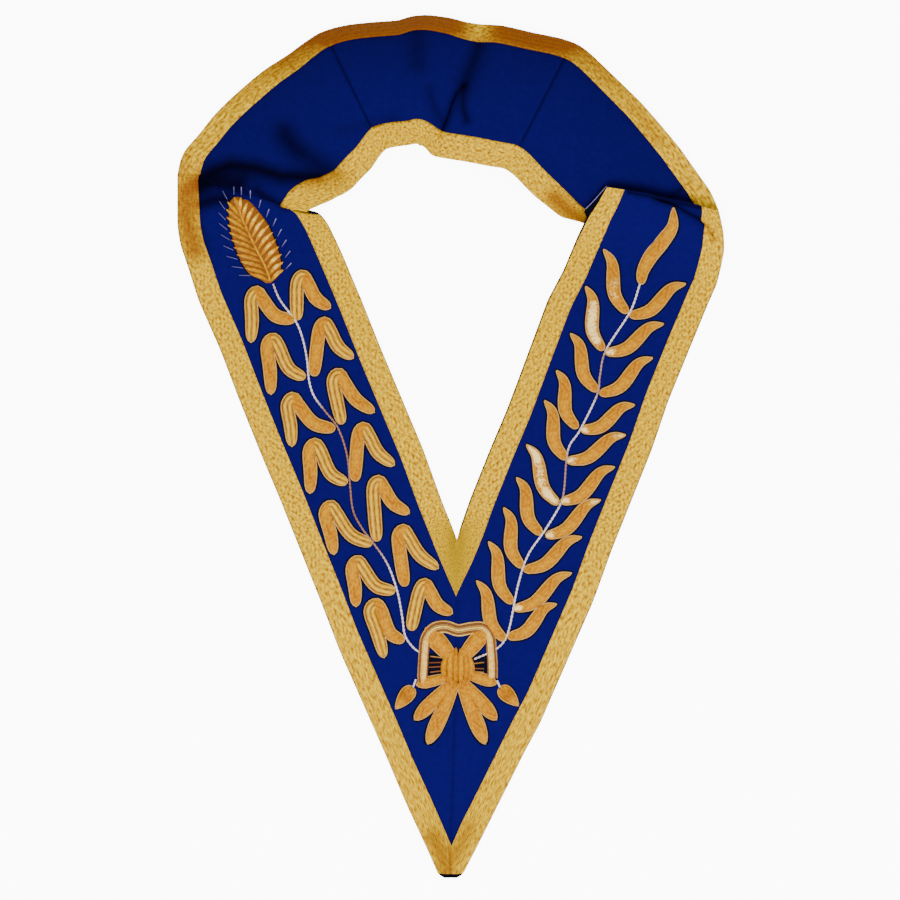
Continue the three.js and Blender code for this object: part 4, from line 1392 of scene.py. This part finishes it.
    def _strap(self) -> None:
        """The strap: wires side by side along one looped line, brighter down the sides than over the top."""
        count = 180
        path = self.top.laid(spline(CHART.plan(self.strap), count), 0.0)
        level = leftward(np.gradient(path, axis=0))
        over = np.interp(np.linspace(0, 1, count), [0.24, 0.36, 0.64, 0.76], [0, 1, 1, 0])
        middle = (len(self.wires) - 1) / 2
        parts = []
        for k, (beside, above) in enumerate(self.wires):
            strand = path + level * ((k - middle) * self.wire * (1.85 + 0.35 * over))[:, None]
            strand[:, 2] += self.wire * 1.2 + 1.1 * MM * (1 - ((k - middle) / middle) ** 2)
            parts.append(tube(strand, self.wire, 8, 0, beside + (above - beside) * over))
        self.bench.add("bow_strap", parts, BRIGHT)

    def build(self) -> None:
        """Builds the knot, the strap, the tails and the buds."""
        self._knot()
        self._strap()
        for side, pair in self.tails:
            parts = [part for club in pair for part in self._club(*club)]
            self.bench.add(f"bow_tails_{side}", parts, AMBER, CORD, LINING)
        t = clustered(20)
        half = self.bud * np.sin(np.pi * t ** 0.62) ** 0.7
        core = 0.55 * np.exp(-((t - 0.45) / 0.22) ** 2)
        for side, (stalk, join, end) in self.buds:
            root, tip = CHART.plan(join), CHART.plan(end)
            parts = self._bordered(root + (tip - root) * t[:, None], half, 0.0, core)
            parts.append(tube(self._line(stalk, join, 10, self.lift), self.stalk, 8, 3))
            self.bench.add(f"bud_{side}", parts, AMBER, CORD, LINING, SILVER)


@dataclass
class Studio:
    """The pale floor, the soft lights and the camera straight above.

    Height, frame and floor are metres, sensor is millimetres. Lights gives name, place, size and power.
    """

    height: float = 6.0
    sensor: float = 36.0
    frame: float = 0.6217
    floor: float = 4.0
    drop: float = 0.4 * MM
    white: float = 0.93
    glow: float = 9.0
    lights: tuple[tuple[str, Triple, float, float], ...] = (
        ("key", (-0.3, -1.0, 1.9), 0.8, 44.0), ("fill", (0.9, -0.3, 1.6), 1.2, 14.0))

    def _paint(self) -> bpy.types.Material:
        """The floor's white, which only the camera sees glowing."""
        paint = bpy.data.materials.new("pale_floor")
        paint.use_nodes = True
        nodes = Nodes(paint.node_tree)
        seen = nodes.add("LightPath", {})["Is Camera Ray"]
        nodes.feed(nodes.tree.nodes["Principled BSDF"], {
            "Base Color": (self.white, self.white, self.white, 1.0), "Roughness": 0.9,
            "Emission Color": (1.0, 1.0, 1.0, 1.0), "Emission Strength": nodes.math("MULTIPLY", seen, self.glow)})
        return paint

    def build(self) -> None:
        """Adds the camera, the lights, the floor and the room's light."""
        camera = bpy.data.cameras.new("camera")
        camera.sensor_width = self.sensor
        camera.lens = self.sensor * self.height / self.frame
        camera.clip_end = 20
        holder = linked("camera", camera)
        holder.location = (*CHART.plan((450, 450)), self.height)
        bpy.context.scene.camera = holder
        for name, place, size, power in self.lights:
            light = bpy.data.lights.new(name, "AREA")
            light.size, light.energy = size, power
            lamp = linked(name, light)
            lamp.location = place
            lamp.rotation_euler = (-lamp.location).to_track_quat("-Z", "Y").to_euler()
        world = bpy.data.worlds.new("room")
        world.use_nodes = True
        room = world.node_tree.nodes["Background"]
        room.inputs["Color"].default_value = (1.0, 1.0, 1.0, 1.0)
        room.inputs["Strength"].default_value = 1.0
        bpy.context.scene.world = world
        floor = bpy.data.meshes.new("floor")
        corners = [(x * self.floor, y * self.floor, -self.drop) for x, y in ((-1, -1), (1, -1), (1, 1), (-1, 1))]
        floor.from_pydata(corners, [], [[0, 1, 2, 3]])
        floor.materials.append(self._paint())
        ground = linked("floor", floor)


# Creases: a chart line, a rise and a half width in mm, and the shade painted along the line. Those that do not rise
# only paint shade, such as on the braid where it turns from the light.
LEFT_SHOULDER = (
    Crease(((199, 186), (212, 172), (232, 165), (255, 168), (280, 176), (318, 178)), -3.5, 6.8, 0.97),
    Crease(((203, 182), (222, 180), (240, 183)), -0.8, 9.0, 0.92),
    Crease(((199, 205), (212, 201), (226, 199)), -0.6, 5.0, 0.88),
    Crease(((252, 184), (275, 187), (296, 190)), 1.6, 6.0, 0.0),
    Crease(((258, 189), (272, 198), (285, 206)), -0.6, 3.6, 0.75),
    Crease(((186, 190), (186, 218), (195, 250)), 0.0, 8.5, 0.8))
CENTRE_FRONT = (
    Crease(((459, 600), (455, 720), (450, 843)), -0.1, 1.4, 0.15),
    Crease(((433, 836), (441, 852), (446, 872)), 0.0, 6.5, 0.65),
    Crease(((470, 826), (462, 842), (455, 856)), 0.0, 5.0, 0.5),
    Crease(((449.5, 846), (450.5, 880)), -0.2, 0.8, 0.7))
LEFT_ARM = Ribbon(
    inner=((457, 540), (441, 500), (423, 450), (402, 400), (381, 350), (361, 300), (340, 250), (327, 223), (318, 212),
           (307, 210)),
    outer=((450.5, 902), (438, 873), (428, 850), (405, 800), (384, 750), (362, 700), (340, 650), (321, 600),
           (301, 550), (281, 500), (260, 450), (240, 400), (221, 350), (199, 300), (188, 265), (181, 245),
           (178, 226), (178, 200), (178, 176)),
    ties=(Tie((457, 540), (450.5, 902)), Tie((456.5, 539), (438, 873)), Tie((454, 533), (376, 733)),
          Tie((447.6, 519), (310, 576)), Tie((402.7, 407), (266.7, 463)), Tie((338, 250), (198, 296)),
          Tie((328, 226), (186, 256)), Tie((320, 214), (179, 222), (0.6, 0.3, 0)),
          Tie((307, 210), (178, 176), (2.6, 0.8, 0))),
    creases=LEFT_SHOULDER + CENTRE_FRONT,
    trim=0.079)
RIGHT_ARM = Ribbon(
    inner=((457, 540), (471, 500), (491, 450), (508, 410), (523, 370), (549, 300), (565, 270), (574, 248), (580, 234),
           (589, 216), (598, 203), (607, 187)),
    outer=((450.5, 902), (463, 873), (475, 850), (500, 800), (524, 752), (540, 722), (593, 600), (611, 550),
           (631, 500), (651, 450), (668, 400), (709, 300), (716, 285), (720, 268), (723.5, 250), (722.5, 232),
           (717.5, 211)),
    ties=(Tie((457, 540), (450.5, 902)), Tie((457.5, 539), (463, 873)), Tie((460, 533), (537, 725)),
          Tie((466, 519), (605, 571)), Tie((510, 407), (650, 455)), Tie((556, 285), (699, 331)),
          Tie((572, 250), (713, 293)), Tie((588, 218), (723.7, 247), (9.8, 9.2, 5.9)),
          Tie((607, 187), (717.5, 211), (14.6, 14, 9.2))),
    # Beyond the centre front: the fold at the shoulder, dark with painted shade, and a painted shadow line along the
    # arm's end that does not rise.
    creases=CENTRE_FRONT + (
        Crease(((655, 199), (672, 204), (686, 212), (699, 219), (707, 227), (713, 238)), -1.2, 2.4, 0.98),
        Crease(((628, 192), (655, 197.5), (674, 201), (700, 208)), 0.0, 1.7, 0.8)),
    trim=0.079, bulge=1.5 * MM)
NECK = Ribbon(
    inner=((307, 210), (312, 206), (318, 203), (330, 199), (345, 193), (352, 188), (360, 178), (370, 168),
           (378, 155), (385, 147), (395, 145), (410, 143), (418, 141), (425, 146), (433, 155), (450, 158),
           (470, 161), (490, 165), (505, 167), (515, 174), (525, 185), (535, 195), (550, 207), (560, 215),
           (570, 218), (580, 220), (587, 223)),
    outer=((178, 176), (180, 165), (186, 152), (200, 137), (215, 118), (230, 103), (240, 94), (260, 77), (270, 70),
           (290, 58), (305, 47), (320, 37), (335, 32), (350, 29), (370, 27), (400, 25), (412, 20), (425, 19),
           (450, 22), (465, 26), (480, 28), (500, 29), (510, 31), (530, 36), (560, 42), (575, 47), (580, 50),
           (590, 58), (610, 77), (640, 105), (660, 127), (680, 150), (700, 178), (710, 192), (718, 210), (722, 228),
           (722, 240)),
    ties=(Tie((307, 210), (178, 176), (2.6, 0.8, 0)), Tie((321, 201.5), (186.7, 155.7), (7, 9.9, 0)),
          Tie((336, 195.6), (215.5, 127.2), (9.1, 13.5, 0)), Tie((351, 186.7), (258.5, 84.7), (9.1, 15.6, 0)),
          Tie((368, 166.5), (294, 60.3), (10.9, 20.3, 0)), Tie((382.5, 150), (328, 40), (13, 23.9, 0)),
          Tie((400, 144), (371, 27), (14, 25.5, 0)), Tie((417, 141), (420, 19.5), (14, 26, 0)),
          Tie((434, 155), (480, 28), (10, 19, 0)), Tie((472, 161), (528.5, 36), (12, 21.3, 0)),
          Tie((508, 169), (571, 46), (12, 20.8, 0)), Tie((532, 191), (609.5, 77), (9.4, 17.7, 0)),
          Tie((552, 208.8), (652, 120), (4.4, 9.9, 0)), Tie((566, 217), (693, 167), (1.3, 3.6, 0)),
          Tie((587, 223), (722, 240), (0, 0.8, 0))),
    # Folds, puckers and seams of the band, each with the shade painted along it; those that do not rise only paint
    # shade.
    creases=LEFT_SHOULDER + (
        Crease(((479, 48), (472, 68), (464, 84)), -2.5, 6.5, 0.65),
        Crease(((464, 86), (456, 94), (451, 106), (449, 116), (441, 134)), -2.2, 2.9, 0.9),
        Crease(((466, 88), (464, 97), (463, 108), (467, 121)), -1.5, 3.6, 0.7),
        Crease(((428, 90), (432, 104), (442, 122)), -0.8, 4.0, 0.35),
        Crease(((417, 30), (417, 66)), -1.0, 7.0, 0.4),
        Crease(((333, 50), (371, 127)), -0.3, 0.9, 0.7),
        Crease(((564, 60), (523, 140)), -0.3, 0.9, 0.7),
        Crease(((284, 130), (296, 146), (314, 160), (336, 173)), -4.0, 8.0, 0.6),
        Crease(((284, 140), (296, 152)), -1.0, 7.0, 0.35),
        Crease(((340, 130), (372, 124), (395, 119)), -1.0, 5.0, 0.2),
        Crease(((690, 182), (676, 193), (668, 199)), -1.0, 2.2, 0.6),
        Crease(((612, 187), (632, 189), (656, 194), (676, 198), (694, 202)), -0.4, 2.4, 0.7),
        Crease(((182, 150), (179, 176)), 0.0, 7.0, 0.4),
        Crease(((632, 112), (658, 142)), 0.0, 5.0, 0.35),
        Crease(((554, 196), (568, 209), (590, 224)), 0.0, 6.5, 0.8)),
    # Painted shade all over the band, and none on its lace round the glint, which stays light.
    tone=0.14, glints=((478, 34),),
    lean=0.26)


def pleat_return(bench: Bench) -> None:
    """The right shoulder's pleat return, lining side up: a slab between the band and the arm above it."""
    low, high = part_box("right_shoulder_pleat")
    ties = (Tie((588, 210), (718, 237), (8.1, 7.8, 6.0)), Tie((602, 188), (714, 228), (12.3, 11.8, 7.5)))
    shelf = Ribbon(inner=((588, 210), (602, 188)), outer=((718, 237), (714, 228)), ties=ties, soft=0.2 * MM)
    surface = shelf.surface(np.linspace(0, shelf.length, 12), np.linspace(0, 0.85, 40))
    LOG.info("pleat return between %.4f and %.4f m", low[2], high[2])
    bench.add("right_shoulder_pleat", [slab(surface, 0.0, 1.2 * MM)], LINING)


@dataclass(frozen=True)
class Cut:
    """A piece of cloth as it is cut: its node, flat width and length, area, what it lies on and what is on it."""

    node: str
    flat: Pair
    area: float
    rests_on: tuple[str, ...]
    carries: tuple[str, ...] = ()

    def declare(self, pieces: dict[str, bpy.types.Object]) -> None:
        """Does nothing."""


CUTS = (
    Cut("left_arm_cloth", (0.1016, 0.526), 0.0402, ("left_arm_lining",),
        ("left_arm_outer", "left_arm_inner", "wheat", "folded", "bow", "bud")),
    Cut("right_arm_cloth", (0.1016, 0.502), 0.0397, ("right_arm_lining",),
        ("right_arm_outer", "right_arm_inner", "laurel")),
    Cut("neck_left_cloth", (0.1016, 0.145), 0.0107, ("neck_left_lining",)),
    Cut("neck_back_cloth", (0.1016, 0.173), 0.0131, ("neck_left_lining", "neck_right_lining"),
        ("neck_outer", "neck_inner")),
    Cut("neck_right_cloth", (0.1016, 0.175), 0.0113, ("neck_right_lining",)),
    Cut("left_arm_lining", (0.1016, 0.526), 0.0406, ()),
    Cut("right_arm_lining", (0.1016, 0.502), 0.0401, ("right_shoulder_pleat",)),
    Cut("neck_left_lining", (0.1016, 0.253), 0.0180, ()),
    Cut("neck_right_lining", (0.1016, 0.240), 0.0173, ()),
    Cut("right_shoulder_pleat", (0.092, 0.0185), 0.00105, ("neck_right_cloth",)),
)


def main() -> None:
    """Builds the collar's looks in order."""
    logging.basicConfig(level=logging.INFO, format="%(name)s: %(message)s")
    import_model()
    Studio().build()
    bench = Bench()
    turned = RIGHT_ARM.at[7]
    folded_rim = ((0.0, 0.9), (turned, 0.9), (turned + 0.004, 5.4), (RIGHT_ARM.length, 0.5))
    for arm, name, more in ((LEFT_ARM, "left_arm", {}),
                            (RIGHT_ARM, "right_arm", {"rim": folded_rim, "piping": 19 * MM})):
        CollarRibbon(arm, bench, name, ((f"{name}_cloth", 0, arm.length),), ((f"{name}_lining", 0, arm.length),),
                     tip_rim=2.2 * MM, seam_dip=0.3 * MM, **more).build()
    left_seam, dip, pucker, right_seam = (NECK.at[k] for k in (5, 7, 8, 10))
    CollarRibbon(
        NECK, bench, "neck",
        (("neck_left_cloth", 0, left_seam), ("neck_back_cloth", left_seam, right_seam),
         ("neck_right_cloth", right_seam, NECK.length)),
        (("neck_left_lining", 0, pucker), ("neck_right_lining", pucker, NECK.length)),
        rim=((0.0, 0.4), (0.006, 2.4), (0.016, 0.6), (dip, 0.4), (dip + 0.004, 2.6), (dip + 0.009, 0.4)),
        flare=((0.0, 0.045), (0.0127, 0.062), (0.030, 0.045), (0.041, 0.008), (0.050, 0.0))).build()
    pleat_return(bench)
    left_top, right_top = ClothTop(LEFT_ARM, NECK), ClothTop(RIGHT_ARM)
    leaves = Leaves(bench, left_top, right_top)
    leaves.folded()
    leaves.laurel()
    WheatEar(bench, left_top).build()
    stems = Stems(bench)
    stems.build("wheat_stem", WHEAT_STEM, WHEAT_TONES, left_top)
    stems.build("laurel_stem", LAUREL_STEM, LAUREL_TONES, right_top)
    Bow(bench, left_top).build()
    for cut in CUTS:
        cut.declare(bench.pieces)
    bpy.context.view_layer.update()


if __name__ == "__main__":
    main()
